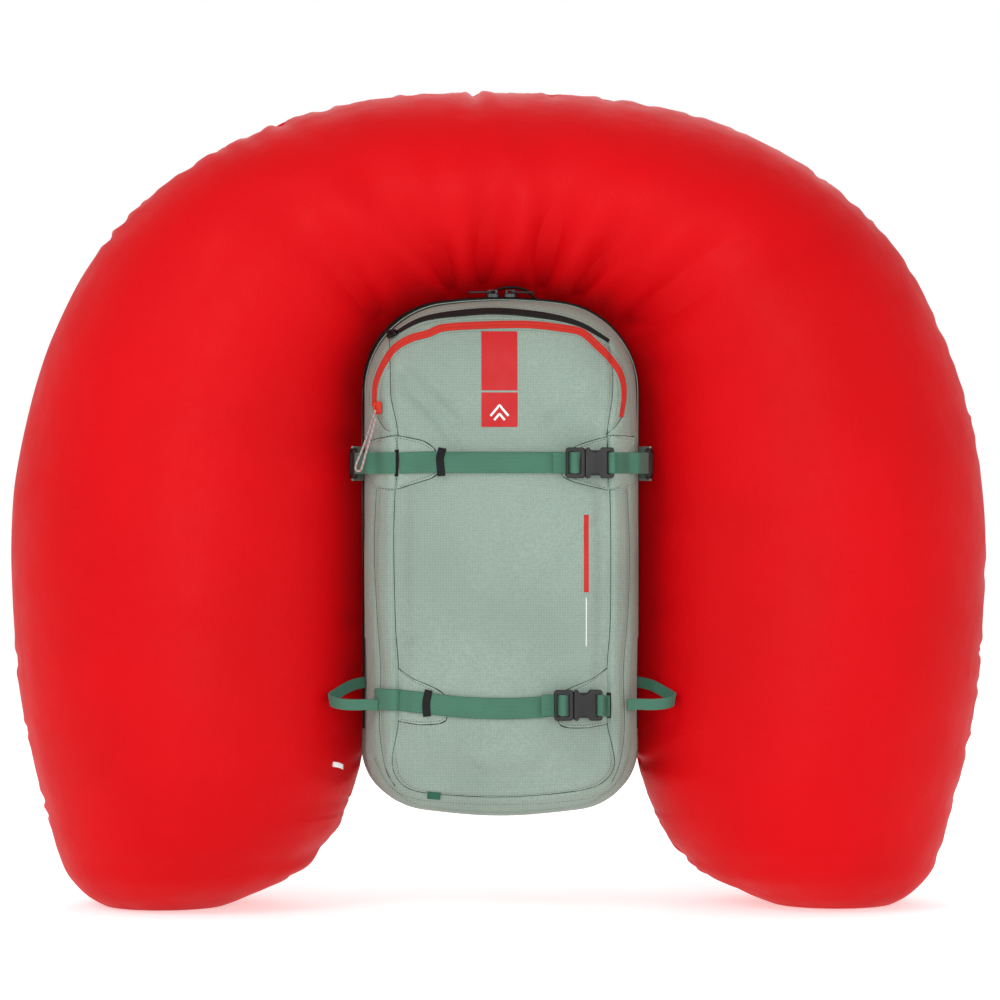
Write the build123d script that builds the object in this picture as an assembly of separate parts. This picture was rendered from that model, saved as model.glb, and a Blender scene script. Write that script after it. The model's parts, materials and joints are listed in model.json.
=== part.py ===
from build123d import *
import os
from functools import lru_cache
from math import atan2, cos, degrees, radians, sin, tan

# Avalanche airbag backpack of 18 litres, with its airbag inflated and standing on the airbag's two legs.
# Millimetres. X is to the right when you face the pack's outer side, Y points to the wearer, Z is up.
# The origin is on the floor, midway between the two feet, in the airbag's middle plane.

os.makedirs("parts", exist_ok=True)

# ---- driving dimensions ----
SKIN = 2.2  # sewn shell fabric with its lining
AIRBAG_SKIN = 1.2
CHAMBER_GAP = 4.0  # between the outer airbag and its inner chamber
WEB = 20.0  # compression strap webbing
WEB_T = 1.6
HIP_WEB = 38.0
PANEL_HALF = 101.0  # half width of the front panel between its two long seams
BOOT_TOP = 112.0  # seam between the boot and the panels above it
REAR = 0.0  # main compartment's rear wall
SLIT_FRONT, SLIT_REAR = 0.0, 7.0  # the burst zip's opening
COMPARTMENT_REAR = 21.0
FOAM_FRONT, FOAM_REAR = 23.6, 43.0
ZIP_C_Y = -75.0  # main compartment zip's plane
STRAP_UPPER_Z, STRAP_LOWER_Z = 430.0, 202.0
CLEAR = 0.3

# Outlines of the pack from its rear wall to its front face: depth y, half width, lowest z, highest z,
# crown of the bottom and top edges, corner radii at the bottom and top, and how far a growth moves y.
BODY = (
    (REAR, 127, 97, 580, 14, 18, 60, 80, 1.0),
    (-35, 132, 91.5, 590, 17, 20, 63, 83, 0.0),
    (ZIP_C_Y, 130, 93, 587, 18, 20, 64, 84, 0.0),
    (-100, 127.5, 94, 580, 18, 20, 64, 84, -0.3),
    (-120, 118, 101, 562, 18, 18, 62, 80, -0.6),
    (-132, 104, 116, 524, 16, 14, 56, 70, -0.9),
    (-138, 84, 146, 440, 10, 8, 44, 54, -1.0),
)

# The airbag's right half, foot to crown: outer and inner edge in the XZ plane, and half its depth.
AIRBAG = (
    (360, -9, 300, -9, 30),
    (385, 0, 268, 0, 60),
    (404, 11, 240, 11, 86),
    (422, 30, 200, 30, 112),
    (431, 50, 178, 50, 127),
    (437, 70, 163, 70, 138),
    (447, 109, 144, 109, 151),
    (456, 148, 136, 148, 160),
    (469, 226, 134, 226, 168),
    (476, 344, 134, 340, 171),
    (466, 450, 134, 428, 169),
    (434, 556, 135, 486, 163),
    (374, 658, 129, 532, 156),
    (277, 736, 108, 568, 148),
    (150, 781, 58, 589, 141),
    (0, 793, 0, 596, 137),
)


# ---- helpers ----
def node(name, *shapes):
    """Writes one node's solids to its STEP file."""
    solids = [s for shape in shapes for s in shape.solids()]
    export_step(Compound(children=solids) if len(solids) > 1 else solids[0], f"parts/{name}.step")
    return shapes[0]


def block(x0, x1, y0, y1, z0, z1):
    """A box between two corners."""
    centre = ((x0 + x1) / 2, (y0 + y1) / 2, (z0 + z1) / 2)
    return Pos(*centre) * Box(abs(x1 - x0), abs(y1 - y0), abs(z1 - z0))


def rod(start, end, radius):
    """A round bar from one point to another."""
    axis = Vector(*end) - Vector(*start)
    return extrude(Plane(origin=start, z_dir=axis) * Circle(radius), axis.length)


def mirror_x(shape):
    return mirror(shape, about=Plane.YZ)


def front_plane(y):
    """The XZ plane at depth y, with sketch x to +X and sketch y to +Z."""
    return Plane(origin=(0, y, 0), x_dir=(1, 0, 0), z_dir=(0, -1, 0))


def prism(face, near=-60.0, far=-220.0):
    """A front-view outline carried from depth near to depth far."""
    return extrude(front_plane(near) * face, near - far)


def side_prism(face, x0, x1):
    """An outline drawn in Y and Z, carried from x0 to x1."""
    return extrude(Plane(origin=(x0, 0, 0), x_dir=(0, 1, 0), z_dir=(1, 0, 0)) * face, x1 - x0)


def closed(points, smooth=False):
    """A face inside a ring of points, with straight or smooth edges."""
    edge = Spline(*points, points[0]) if smooth else Polyline(*points, points[0])
    return make_face(edge)


def band_of(path, thickness):
    """The face that a flat band covers when it is seen edge on, one piece per edge of its path."""
    pieces = []
    for edge in path.edges():
        straight = edge.geom_type == GeomType.LINE
        rails = []
        for side in (0.5, -0.5):
            rail = []
            for t in (0, 1) if straight else [i / 14 for i in range(15)]:
                along = edge.tangent_at(t)
                rail.append(edge.position_at(t) + Vector(-along.Y, along.X, 0).normalized() * thickness * side)
            rails.append(Line(*rail) if straight else Spline(*rail))
        left, right = rails
        pieces.append(make_face(left + Line(left @ 1, right @ 1) + right + Line(right @ 0, left @ 0)))
    return Sketch() + pieces


def cord_path(points, share=0.45):
    """Straight runs joined by tangent arcs, each as large as its two runs allow."""
    vectors = [Vector(*p) for p in points]
    radii = []
    for a, b, c in zip(vectors, vectors[1:], vectors[2:]):
        turn = radians((b - a).get_angle(c - b))
        radii.append(share * min((b - a).length, (c - b).length) / (sin(turn / 2) / cos(turn / 2)))
    print("arc radii", [round(r, 1) for r in radii])
    return FilletPolyline(*points, radius=radii)


def tube(points, radius):
    path = cord_path(points)
    start = Plane(origin=path @ 0, z_dir=path % 0)
    return sweep(start * Circle(radius), path=path)


# ---- the pack's shell ----
def outline(half, low, high, crown_low, crown_high, r_low, r_high, grow=0.0):
    """The pack's front-view outline: straight sides, crowned top and bottom, round corners."""
    half, low, high = half + grow, low - grow, high + grow
    edge = (
        Line((-half, low + crown_low), (-half, high - crown_high))
        + ThreePointArc((-half, high - crown_high), (0, high), (half, high - crown_high))
        + Line((half, high - crown_high), (half, low + crown_low))
        + ThreePointArc((half, low + crown_low), (0, low), (-half, low + crown_low))
    )
    face = make_face(edge)
    face = fillet(face.vertices().sort_by(Axis.Y)[-2:], r_high + grow)
    return fillet(face.vertices().sort_by(Axis.Y)[:2], r_low + grow)


@lru_cache(maxsize=None)
def body(grow):
    """The whole pack as one solid, grown or shrunk."""
    return loft([front_plane(y + grow * share) * outline(*size, grow) for y, *size, share in BODY])


def layer(inner, outer):
    """What lies between two distances from the pack's outer surface."""
    return body(outer) - body(inner)


def front_y(x, z, grow=0.0):
    """Depth of the pack's front surface at a point of the front view."""
    hits = body(grow).find_intersection_points(Axis((x, -400, z), (0, 1, 0)))
    return min(point.Y for point, _ in hits)


def shell_panels():
    skin = body(0.0) - body(-SKIN)
    panel_edge = closed(
        [(-PANEL_HALF, BOOT_TOP + 30), (-PANEL_HALF, 470), (-112, 505), (-88, 545), (0, 566), (88, 545),
         (112, 505), (PANEL_HALF, 470), (PANEL_HALF, BOOT_TOP + 30), (70, BOOT_TOP + 4), (0, BOOT_TOP),
         (-70, BOOT_TOP + 4)]
    )
    front = prism(panel_edge)
    boot = block(-200, 200, -200, REAR, 60, BOOT_TOP + 14)
    node("front_panel", skin & front)
    rest = skin - front
    node("bottom_boot", rest & boot)
    rest = rest - boot
    node("front_gusset", rest & block(-200, 200, -200, ZIP_C_Y, 60, 700))
    cable_port = rod((CABLE_X, -30, CABLE_PORT_Z), (CABLE_X, 60, CABLE_PORT_Z), CABLE_R + 1.5)
    cable_port += block(CABLE_X - 4, CABLE_X + 4, FOAM_FRONT, 60, CABLE_PORT_Z - 4, CABLE_PORT_Z + 14)
    node("rear_gusset", (rest & block(-200, 200, ZIP_C_Y, 60, 60, 700)) - cable_port)
    return cable_port


def rear_compartment(cable_port):
    """The band that the airbag folds into, the frame, the foam back panel and the lumbar pad."""
    rear = BODY[0][1:8]
    band = extrude(front_plane(COMPARTMENT_REAR) * outline(*rear), COMPARTMENT_REAR - SLIT_REAR)
    hollow = extrude(front_plane(COMPARTMENT_REAR) * outline(*rear, -SKIN), COMPARTMENT_REAR - SLIT_REAR)
    bridge = block(-70, 70, CLEAR, SLIT_REAR - CLEAR, 98, 101)
    node("airbag_compartment", band - hollow, bridge)
    sheet = extrude(front_plane(COMPARTMENT_REAR + 2.3) * outline(*rear, -6), 2.0)
    stay = block(-9, 9, COMPARTMENT_REAR - 3.2, COMPARTMENT_REAR - 0.2, 140, 540)
    stays = [Pos(x, 0, 0) * stay for x in (-45, 45)]
    node("frame_sheet", sheet - cable_port)
    node("frame_stays", *stays)
    foam = extrude(front_plane(FOAM_REAR) * outline(*rear, -5), FOAM_REAR - FOAM_FRONT)
    foam = fillet(foam.faces().sort_by(Axis.Y)[-1].edges(), 6)
    channel = block(-9, 9, FOAM_REAR - 7, FOAM_REAR + 5, 60, 640)
    ribs = [block(-90, 90, FOAM_REAR - 5, FOAM_REAR + 5, z - 4, z + 4) for z in (250, 330, 410)]
    for cut in (channel, *ribs, cable_port):
        foam = foam - cut
    node("back_panel", foam)
    lumbar = block(-56, 56, FOAM_REAR + CLEAR, FOAM_REAR + 15, 106, 206)
    lumbar = fillet(lumbar.edges().filter_by(Axis.Y), 22)
    node("lumbar_pad", fillet(lumbar.faces().sort_by(Axis.Y)[-1].edges(), 6))


# ---- airbag ----
def airbag_section(outer_x, outer_z, inner_x, inner_z, half_depth, inset, side):
    across = Vector((outer_x - inner_x) * side, 0, outer_z - inner_z)
    centre = ((outer_x + inner_x) / 2 * side, 0, (outer_z + inner_z) / 2)
    plane = Plane(origin=centre, x_dir=across, z_dir=across.cross(Vector(0, 1, 0)))
    return plane * Ellipse(across.length / 2 - inset, half_depth - inset)


def airbag_solid(inset):
    """The horseshoe, cut flat where its two legs stand on the floor."""
    right = [airbag_section(*s, inset, 1) for s in AIRBAG]
    left = [airbag_section(*s, inset, -1) for s in reversed(AIRBAG[:-1])]
    return loft(right + left) - block(-600, 600, -300, 300, -60, inset)


def airbag():
    outside = airbag_solid(0)
    node("airbag_outer", outside - airbag_solid(AIRBAG_SKIN))
    inner = airbag_solid(AIRBAG_SKIN + CHAMBER_GAP)
    node("airbag_inner", inner - airbag_solid(2 * AIRBAG_SKIN + CHAMBER_GAP))
    half, low, high, *corners = BODY[0][1:8]
    flange = extrude(front_plane(5.0) * outline(half + 4, low, high + 16, *corners), 3.0)
    flange = flange - extrude(front_plane(6.0) * outline(half, low, high, *corners, -12), 5.0)
    flange = (flange & block(-200, 200, -50, 50, 200, 700)) - airbag_solid(-CLEAR)
    node("airbag_flange", flange)


# ---- zips ----
FRONT_ZIP = [(-117, 482), (-116, 508), (-103, 537), (-66, 554), (0, 561), (66, 556), (97, 536), (113, 506),
             (109, 474)]
TOOL_ZIP = [(-104, 552), (-75, 566), (-36, 572), (0, 573.5), (45, 569), (75, 561), (101, 546)]


def slider(width, length, height):
    """A zip slider: its body, the bridge for its pull, lying along local X with its top to local +Z."""
    base = Pos(0, 0, height / 4) * Box(length, width, height / 2)
    base = fillet(base.edges().filter_by(Axis.Z), width * 0.3)
    arch = Pos(0, 0, height * 0.75 - 0.1) * Box(length * 0.7, width * 0.28, height / 2 + 0.2)
    hole = Pos(0, 0, height * 0.72) * Box(length * 0.35, width, height * 0.3)
    return (base + arch) - hole


def zips():
    """The red front zip, and the black tool, main and burst zips."""
    node("front_zip_tape", prism(band_of(Spline(*FRONT_ZIP), 7.0)) & layer(0.2, 1.4))
    tool = prism(band_of(Spline(*TOOL_ZIP), 6.0)) & layer(0.2, 1.4)
    main = layer(0.2, 1.4) & block(-200, 200, ZIP_C_Y - 3, ZIP_C_Y + 3, 255, 700)
    rear = BODY[0][1:8]
    burst = []
    for y in (SLIT_REAR + 5.0, SLIT_REAR + 13.0):
        ring = extrude(front_plane(y) * outline(*rear, 1.4), 4.0)
        ring = ring - extrude(front_plane(y) * outline(*rear, 0.2), 4.0)
        burst.append(ring & block(-200, 200, -50, 50, 200, 700))
    node("black_zip_tapes", tool, main, *burst)


def surface_frame(x, z, heading, lift):
    """A plane on the pack's front surface with x along a heading and z outwards."""
    here = Vector(x, front_y(x, z, lift), z)
    right = Vector(x + 2, front_y(x + 2, z, lift), z) - here
    up = Vector(x, front_y(x, z + 2, lift), z + 2) - here
    out = up.cross(right) * -1
    out = out if out.Y < 0 else out * -1
    turn = radians(heading)
    return Plane(origin=here, x_dir=right.normalized() * cos(turn) + up.normalized() * sin(turn), z_dir=out)


def zip_sliders():
    front = surface_frame(*FRONT_ZIP[0], 95, 1.7)
    tool = surface_frame(TOOL_ZIP[0][0], TOOL_ZIP[0][1], 206, 1.7)
    print("front slider moves along", front.x_dir, "and tool slider against", tool.x_dir)
    node("front_zip_slider", front * slider(8.0, 12.0, 7.0))
    node("tool_zip_slider", tool * slider(7.0, 11.0, 6.0))
    # The main zip's crown is part of a circle about Y, so its sliders turn about that circle's centre.
    _, half, _, high, _, crown, *_ = BODY[2]
    radius = (half * half + crown * crown) / (2 * crown)
    centre_z = high - radius
    print("main zip circle: centre z", round(centre_z, 3), "radius", round(radius, 3))
    for side, name in ((-1, "left"), (1, "right")):
        top = Plane(origin=(0, ZIP_C_Y, high + 2.2), x_dir=(1, 0, 0), z_dir=(0, 0, 1))
        placed = top * slider(9.0, 13.0, 7.5)
        pull = fillet(Box(24, 7, 1.6).edges().filter_by(Axis.Z), 3.0)
        pull = Pos(side * 11.8, 0, 5.4) * (pull - Pos(-side * 8.5, 0, 0) * Box(3.6, 3.6, 5))
        turn = Axis((0, ZIP_C_Y, centre_z), (0, -1, 0))
        node(f"main_zip_slider_{name}", placed.rotate(turn, -side * 1.1))
        node(f"main_zip_pull_{name}", (top * pull).rotate(turn, -side * 1.1))
    at = front.from_local_coords(Vector(-1.5, 0, 5.0))
    drop = [(-0.12, -3.5, -1), (-2.08, -4.5, -9), (-6.02, -5.3, -21), (-12.06, -2.4, -38), (-17.4, 0.1, -50),
            (-19, 0.2, -55), (-17.93, -0.5, -58.6), (-14.13, -1.3, -58.6), (-12.34, -2.3, -54.5),
            (-10.82, -3, -48.5), (-7.76, -4.6, -38), (-2.72, -7.6, -21), (0.12, -6.8, -9)]
    print("front cord route", [tuple(round(c, 2) for c in (at.X + x, at.Y + y, at.Z + z)) for x, y, z in drop])
    node("front_zip_cord", tube([(at.X + x, at.Y + y, at.Z + z) for x, y, z in drop], 1.1))


# ---- compression straps ----
def conformal(face, inner, outer):
    """A front-view outline laid on the pack between two distances from its surface."""
    return prism(face, -20) & layer(inner, outer)


def patch(x_tip, x_seam, z, reach, high, low):
    """A reinforcement patch that tapers from the side seam to a round nose on the strap."""
    nose = 13.0
    return closed(
        [(x_seam, z + high), (x_seam + (x_tip - x_seam) * 0.55, z + high - reach * 0.3),
         (x_tip, z + nose * 0.8), (x_tip, z - nose), (x_seam + (x_tip - x_seam) * 0.55, z - low + reach * 0.3),
         (x_seam, z - low)]
    )


def strap_pieces():
    patches = [
        conformal(patch(-60, -124, STRAP_UPPER_Z, 22, 27, 27), 0.35, 1.1),
        conformal(patch(52, 124, STRAP_UPPER_Z, 22, 27, 27), 0.35, 1.1),
        conformal(patch(-58, -101, STRAP_LOWER_Z, 20, 34, 20), 0.35, 1.1),
        conformal(patch(52, 101, STRAP_LOWER_Z, 20, 34, 20), 0.35, 1.1),
    ]
    node("anchor_patches", *patches)
    half = WEB / 2

    def run(x0, x1, z):
        return conformal(Pos((x0 + x1) / 2, z) * Rectangle(x1 - x0, WEB), 1.6, 1.6 + WEB_T)

    node("strap_upper", run(-100, 58, STRAP_UPPER_Z))
    node("strap_lower", run(-119, 47, STRAP_LOWER_Z))
    ends = [run(97, 118, STRAP_UPPER_Z), run(86, 111, STRAP_LOWER_Z)]
    keepers = []
    for x, z in ((-60, STRAP_UPPER_Z), (-71, STRAP_LOWER_Z)):
        keepers.append(conformal(Pos(x, z) * Rectangle(7, WEB + 5), 3.4, 4.6))
    node("webbing_keepers", *keepers)
    return ends


def buckle(web, thick=9.0):
    """A side-release buckle in its own frame: the strap runs along X, its width along Z, outside to -Y.
    The male half enters from -X. Returns the male, the female and the webbing folded behind the male."""
    wide = web + 9.0
    half = wide / 2
    plate = thick * 0.22
    reach = web * 0.86  # how far the prongs go in
    end = reach + web * 0.5
    outline_f = Pos(end / 2, 0) * Rectangle(end, wide)
    outline_f = fillet(outline_f.vertices(), 3.0)
    waist = web * 0.30
    for side in (1, -1):
        outline_f -= Pos(reach * 0.56, side * (half + waist * 0.25)) * Circle(waist)
    plan = Plane(origin=(0, thick / 2, 0), x_dir=(1, 0, 0), z_dir=(0, -1, 0))
    whole = extrude(plan * outline_f, thick)
    cavity = block(-1, reach + 1.0, -thick / 2 + plate, thick / 2 - plate, -half + 2.2, half - 2.2)
    slot = block(end - web * 0.32, end - web * 0.14, -thick, thick, -web / 2 - 0.6, web / 2 + 0.6)
    female = whole - cavity - slot
    frame_len = web * 0.9
    frame = fillet((Pos(-frame_len / 2 - 0.2, 0) * Rectangle(frame_len, wide)).vertices(), 3.0)
    body_m = extrude(plan * frame, thick * 0.72).translate((0, -thick * 0.14, 0))
    for x in (-frame_len * 0.76, -frame_len * 0.36):
        body_m -= block(x - web * 0.11, x + web * 0.11, -thick, thick, -web / 2 - 0.4, web / 2 + 0.4)
    prong_t = thick / 2 - plate - 0.5
    male = body_m
    for side in (1, -1):
        z0, z1 = side * (half - 2.6), side * (half - 6.2)
        arm = block(-1.0, reach * 0.8, -prong_t, prong_t, min(z0, z1), max(z0, z1))
        head = block(reach * 0.42, reach * 0.82, -prong_t, prong_t, min(z0, side * (half - 9.0)), max(z0, side * (half - 9.0)))
        male = male + arm + head
    male = male + block(-1.0, reach * 0.7, -prong_t * 0.7, prong_t * 0.7, -1.8, 1.8)
    inside = thick * 0.36
    loop = block(-frame_len - web * 0.55, -frame_len * 0.5, inside + 0.05, inside + WEB_T, -web / 2, web / 2)
    return male, female, loop


def front_buckles():
    for name, x, z in (("buckle_upper", 77.0, STRAP_UPPER_Z), ("buckle_lower", 66.0, STRAP_LOWER_Z)):
        male, female, loop = buckle(WEB)
        turn = degrees(atan2(front_y(x + 27, z) - front_y(x - 20, z), 47.0)) * 0.5
        slope = tan(radians(turn))
        under = (WEB / 2, 0, -WEB / 2)
        lowest = min(front_y(x + dx, z + dz, 3.4) - dx * slope for dx in (-54, -30, -12, 0, 14, 28) for dz in under)
        place = Pos(x, lowest - 5.3, z) * Rot(0, 0, turn)
        node(name + "_male", place * male)
        node(name + "_female", place * female)
        node(name + "_loop", place * loop)
        print(name, "angle", round(turn, 4), "y", round(lowest - 5.3, 3))


def side_adjusters(ends):
    """Ladder locks beside the upper strap, and the webbing that ties them to the front panel."""
    straps, buckles = list(ends), []
    for side in (1, -1):
        path = Spline((side * 122, -126), (side * 134, -112), (side * 138, -92))
        strap = extrude(Plane.XY.offset(STRAP_UPPER_Z - WEB / 2) * band_of(path, WEB_T), WEB)
        frame = block(-7, 7, -2.5, 2.5, -14.5, 14.5)
        frame = fillet(frame.edges().filter_by(Axis.Y), 3)
        frame = frame - block(-3.2, 3.2, -9, 9, -10.6, 10.6)
        place = Pos(side * 141.5, -84, STRAP_UPPER_Z) * Rot(0, 0, 90 - side * 14)
        buckles.append(place * frame)
        straps.append(strap - place * block(-9, 9, -4, 4, -16, 16))
    node("strap_ends", *straps)
    node("side_buckles", *buckles)


def side_loops():
    """The ski loops: webbing that leaves the side seam, swings out and comes back lower on the front."""
    loops = []
    for side in (-1, 1):
        path = Spline((side * 133.5, -66), (side * 156, -88), (side * 164, -108), (side * 146, -124),
                      (side * 124, -119))
        band = extrude(Plane.XY.offset(190) * band_of(path, WEB_T), 40)
        lean = side_prism(closed([(-50, 226), (-130, 206), (-130, 194), (-50, 214)]), 100 * side, 180 * side)
        loop = (band & lean) - body(1.0)
        loops.append(loop.solids().sort_by(SortBy.VOLUME)[-1])
    node("side_loops", *loops)


def small_trim():
    node("bottom_tab", conformal(Pos(-65, 117) * Rectangle(12, 8), 0.3, 1.5))
    path = Spline((-14, 587.4), (-7, 595), (10, 599), (27, 595), (34, 587.4))
    arch = extrude(front_plane(-47) * band_of(path, WEB_T), 18)
    node("haul_loop", arch - body(0.2))


# ---- harness ----
ARCH_Y, ARCH_Z, ARCH_R = 95.0, 495.0, 45.0  # the shoulder straps' arch
PAD_T = 12.0
STRAP_FRONT = ARCH_Y + ARCH_R
STRAP_FACE = STRAP_FRONT + PAD_T / 2
RAIL_X = 67.0
HANDLE_X = 93.0
CABLE_X, CABLE_R, CABLE_PORT_Z = -105.0, 2.5, 508.0


def shoulder_straps():
    profile = (
        Line((ARCH_Y - ARCH_R, 462), (ARCH_Y - ARCH_R, ARCH_Z))
        + ThreePointArc((ARCH_Y - ARCH_R, ARCH_Z), (ARCH_Y, ARCH_Z + ARCH_R), (ARCH_Y + ARCH_R, ARCH_Z))
        + Line((STRAP_FRONT, ARCH_Z), (STRAP_FRONT, 310))
        + ThreePointArc((STRAP_FRONT, 310), (STRAP_FRONT - 11, 255), (STRAP_FRONT - 40, 208))
    )
    side_view = band_of(profile, PAD_T)
    inner = [(36, 560), (38, 500), (54, 445), (60, 400), (62, 320), (72, 255), (82, 200)]
    outer = [(112, 200), (117, 255), (120, 320), (119, 400), (114, 445), (100, 500), (97, 560)]
    edge = Spline(*inner) + Line(inner[-1], outer[0]) + Spline(*outer) + Line(outer[-1], inner[0])
    strap = side_prism(side_view, 30, 125) & prism(make_face(edge), 200, 40)
    node("shoulder_strap_right", strap)
    node("shoulder_strap_left", mirror_x(strap))
    lifter = side_prism(band_of(Line((FOAM_REAR + 0.5, 566), (116, 547.5)), WEB_T), 58, 76)
    lifter = lifter - strap
    tail = side_prism(band_of(Line((99.5, 203), (FOAM_REAR + 3, 222)), WEB_T), 87, 107)
    tail = (tail - strap).solids().sort_by(SortBy.VOLUME)[-1]
    return [lifter, mirror_x(lifter), tail, mirror_x(tail)]


def sternum():
    z = 392.0
    rails = []
    for side in (1, -1):
        x = side * RAIL_X
        rail = rod((x, STRAP_FACE + 3.0, 345), (x, STRAP_FACE + 3.0, 455), 1.5)
        ends = [block(x - 4, x + 4, STRAP_FACE + CLEAR, STRAP_FACE + 5.5, z0, z0 + 8) for z0 in (339, 453)]
        rails.append(rail + ends[0] + ends[1])
    node("sternum_rails", *rails)
    y = STRAP_FACE + 3.0
    sliders, webs = [], []
    for side in (1, -1):
        x = side * RAIL_X
        clip = block(x - 6, x + 6, y - 2.6, y + 3.6, z - 12, z + 12)
        sliders.append(clip - rod((x, y, z - 20), (x, y, z + 20), 1.6))
    webs.append(block(-RAIL_X + 6.2, -10, y + 1.2, y + 1.2 + WEB_T, z - WEB / 2, z + WEB / 2))
    webs.append(block(15, RAIL_X - 6.2, y + 1.2, y + 1.2 + WEB_T, z - WEB / 2, z + WEB / 2))
    node("sternum_sliders", *sliders)
    node("sternum_webbing", *webs)
    place = Pos(-4, y + 1.2 + WEB_T + 0.4 + WEB_T + 8.0 * 0.36, z) * Rot(180, 0, 0)
    for name, piece in zip(("male", "female", "loop"), buckle(WEB, 8.0)):
        node("sternum_buckle_" + name, place * piece)


def hip_belt(harness_webbing):
    z = 152.0
    path = Spline((60, 51.5), (104, 58), (134, 82), (139, 112), (122, 143))
    wing = extrude(Plane.XY.offset(100) * band_of(path, 11), 110)
    side_view = closed([(40, 108), (80, 108), (125, 124), (160, 131), (160, 173), (125, 182), (80, 200), (40, 200)])
    wing = wing & side_prism(side_view, 0, 200)
    node("hip_wings", wing, mirror_x(wing))
    path = Spline((118, 148.5), (80, 154.6), (24, 156))
    web = extrude(Plane.XY.offset(z - HIP_WEB / 2) * band_of(path, 2.0), HIP_WEB) - wing
    web = web.solids().sort_by(SortBy.VOLUME)[-1]
    node("harness_webbing", *harness_webbing, web, mirror_x(web))
    place = Pos(-10, 158.2 + WEB_T + 10 * 0.36, z) * Rot(180, 0, 0)
    for name, piece in zip(("male", "female", "loop"), buckle(HIP_WEB, 10.0)):
        node("hip_buckle_" + name, place * piece)


# ---- trigger and inflation system ----
HEAD = (-64.0, -48.0)
GRIP_TOP = 436.0


def trigger():
    y = STRAP_FACE + 9.5
    grip = block(-HANDLE_X - 14, -HANDLE_X + 14, y - 8, y + 8, GRIP_TOP - 92, GRIP_TOP)
    grip = fillet(grip.edges(), 5.0)
    wire = rod((-HANDLE_X, y, GRIP_TOP - 4), (-HANDLE_X, y, GRIP_TOP + 66), 0.8)
    node("trigger_handle", grip + wire)
    socket = block(-HANDLE_X - 11, -HANDLE_X + 11, STRAP_FACE + CLEAR, y + 8, GRIP_TOP + 1.0, GRIP_TOP + 16)
    socket = fillet(socket.edges().filter_by(Axis.Z), 3)
    socket = socket - rod((-HANDLE_X, y, GRIP_TOP - 20), (-HANDLE_X, y, GRIP_TOP + 30), CABLE_R)
    node("trigger_socket", socket)
    top = ARCH_Z + ARCH_R + PAD_T / 2 + CABLE_R + 6.0
    x = CABLE_X
    route = [
        (HEAD[0], HEAD[1], HEAD_TOP + 0.2), (HEAD[0], HEAD[1], HEAD_TOP + 45), (x, -30, CABLE_PORT_Z),
        (x, 53, CABLE_PORT_Z), (x, 70, top), (-98, 128, top + 4), (-HANDLE_X, y, 542),
        (-HANDLE_X, y, GRIP_TOP + 16.2),
    ]
    print("cable route", route)
    return route, y


def cable(route, y):
    housing = tube(route, CABLE_R)
    bore = rod((-HANDLE_X, y, GRIP_TOP + 10), (-HANDLE_X, y, GRIP_TOP + 70), 1.2)
    node("trigger_cable", housing - bore)


HEAD_BASE, HEAD_TOP = 356.0, 420.0
DISC_Z = 372.0


def cylinder():
    x, y = HEAD
    profile = (
        Line((0, 150), (22, 150))
        + ThreePointArc((22, 150), (27.6, 152.4), (29.5, 158))
        + Line((29.5, 158), (29.5, 322))
        + ThreePointArc((29.5, 322), (25, 338), (11.9, 346))
        + Polyline((11.9, 346), (11.9, DISC_Z), (0, DISC_Z), (0, 150))
    )
    can = revolve(Plane.XZ * make_face(profile), Axis.Z).translate((x, y, 0))
    node("gas_cylinder", can)


def valve_head():
    x, y = HEAD
    head = block(x - 18, x + 18, y - 16, y + 16, HEAD_BASE, HEAD_TOP)
    head = fillet(head.edges().filter_by(Axis.Z), 8)
    head = head - rod((x, y, HEAD_BASE - 5), (x, y, DISC_Z + CLEAR), 11.95)
    head = head - rod((x, y, DISC_Z - 1), (x, y, HEAD_TOP - 6), 6.0)
    port = rod((x + 10, y, 384), (x + 30, y, 384), 4.3)
    head = head - port
    node("valve_head", head)
    node("striker", rod((x, y, 388), (x, y, 396), 5.95) + rod((x, y, 379), (x, y, 389), 1.2))
    coil = sweep(
        Plane(origin=Helix(3.2, 16, 4.2) @ 0, z_dir=Helix(3.2, 16, 4.2) % 0) * Circle(0.45), path=Helix(3.2, 16, 4.2)
    )
    node("striker_spring", coil.translate((x, y, 396.7)))
    straps = []
    for z in (190, 285):
        ring = rod((x, y, z), (x, y, z + 25), 31.3) - rod((x, y, z - 1), (x, y, z + 26), 29.9)
        web = block(x - 12, x + 12, y + 29, REAR - SKIN - CLEAR, z, z + 25) - rod((x, y, z - 1), (x, y, z + 26), 31.2)
        straps.append(ring + web)
    node("cylinder_straps", *straps)


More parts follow.
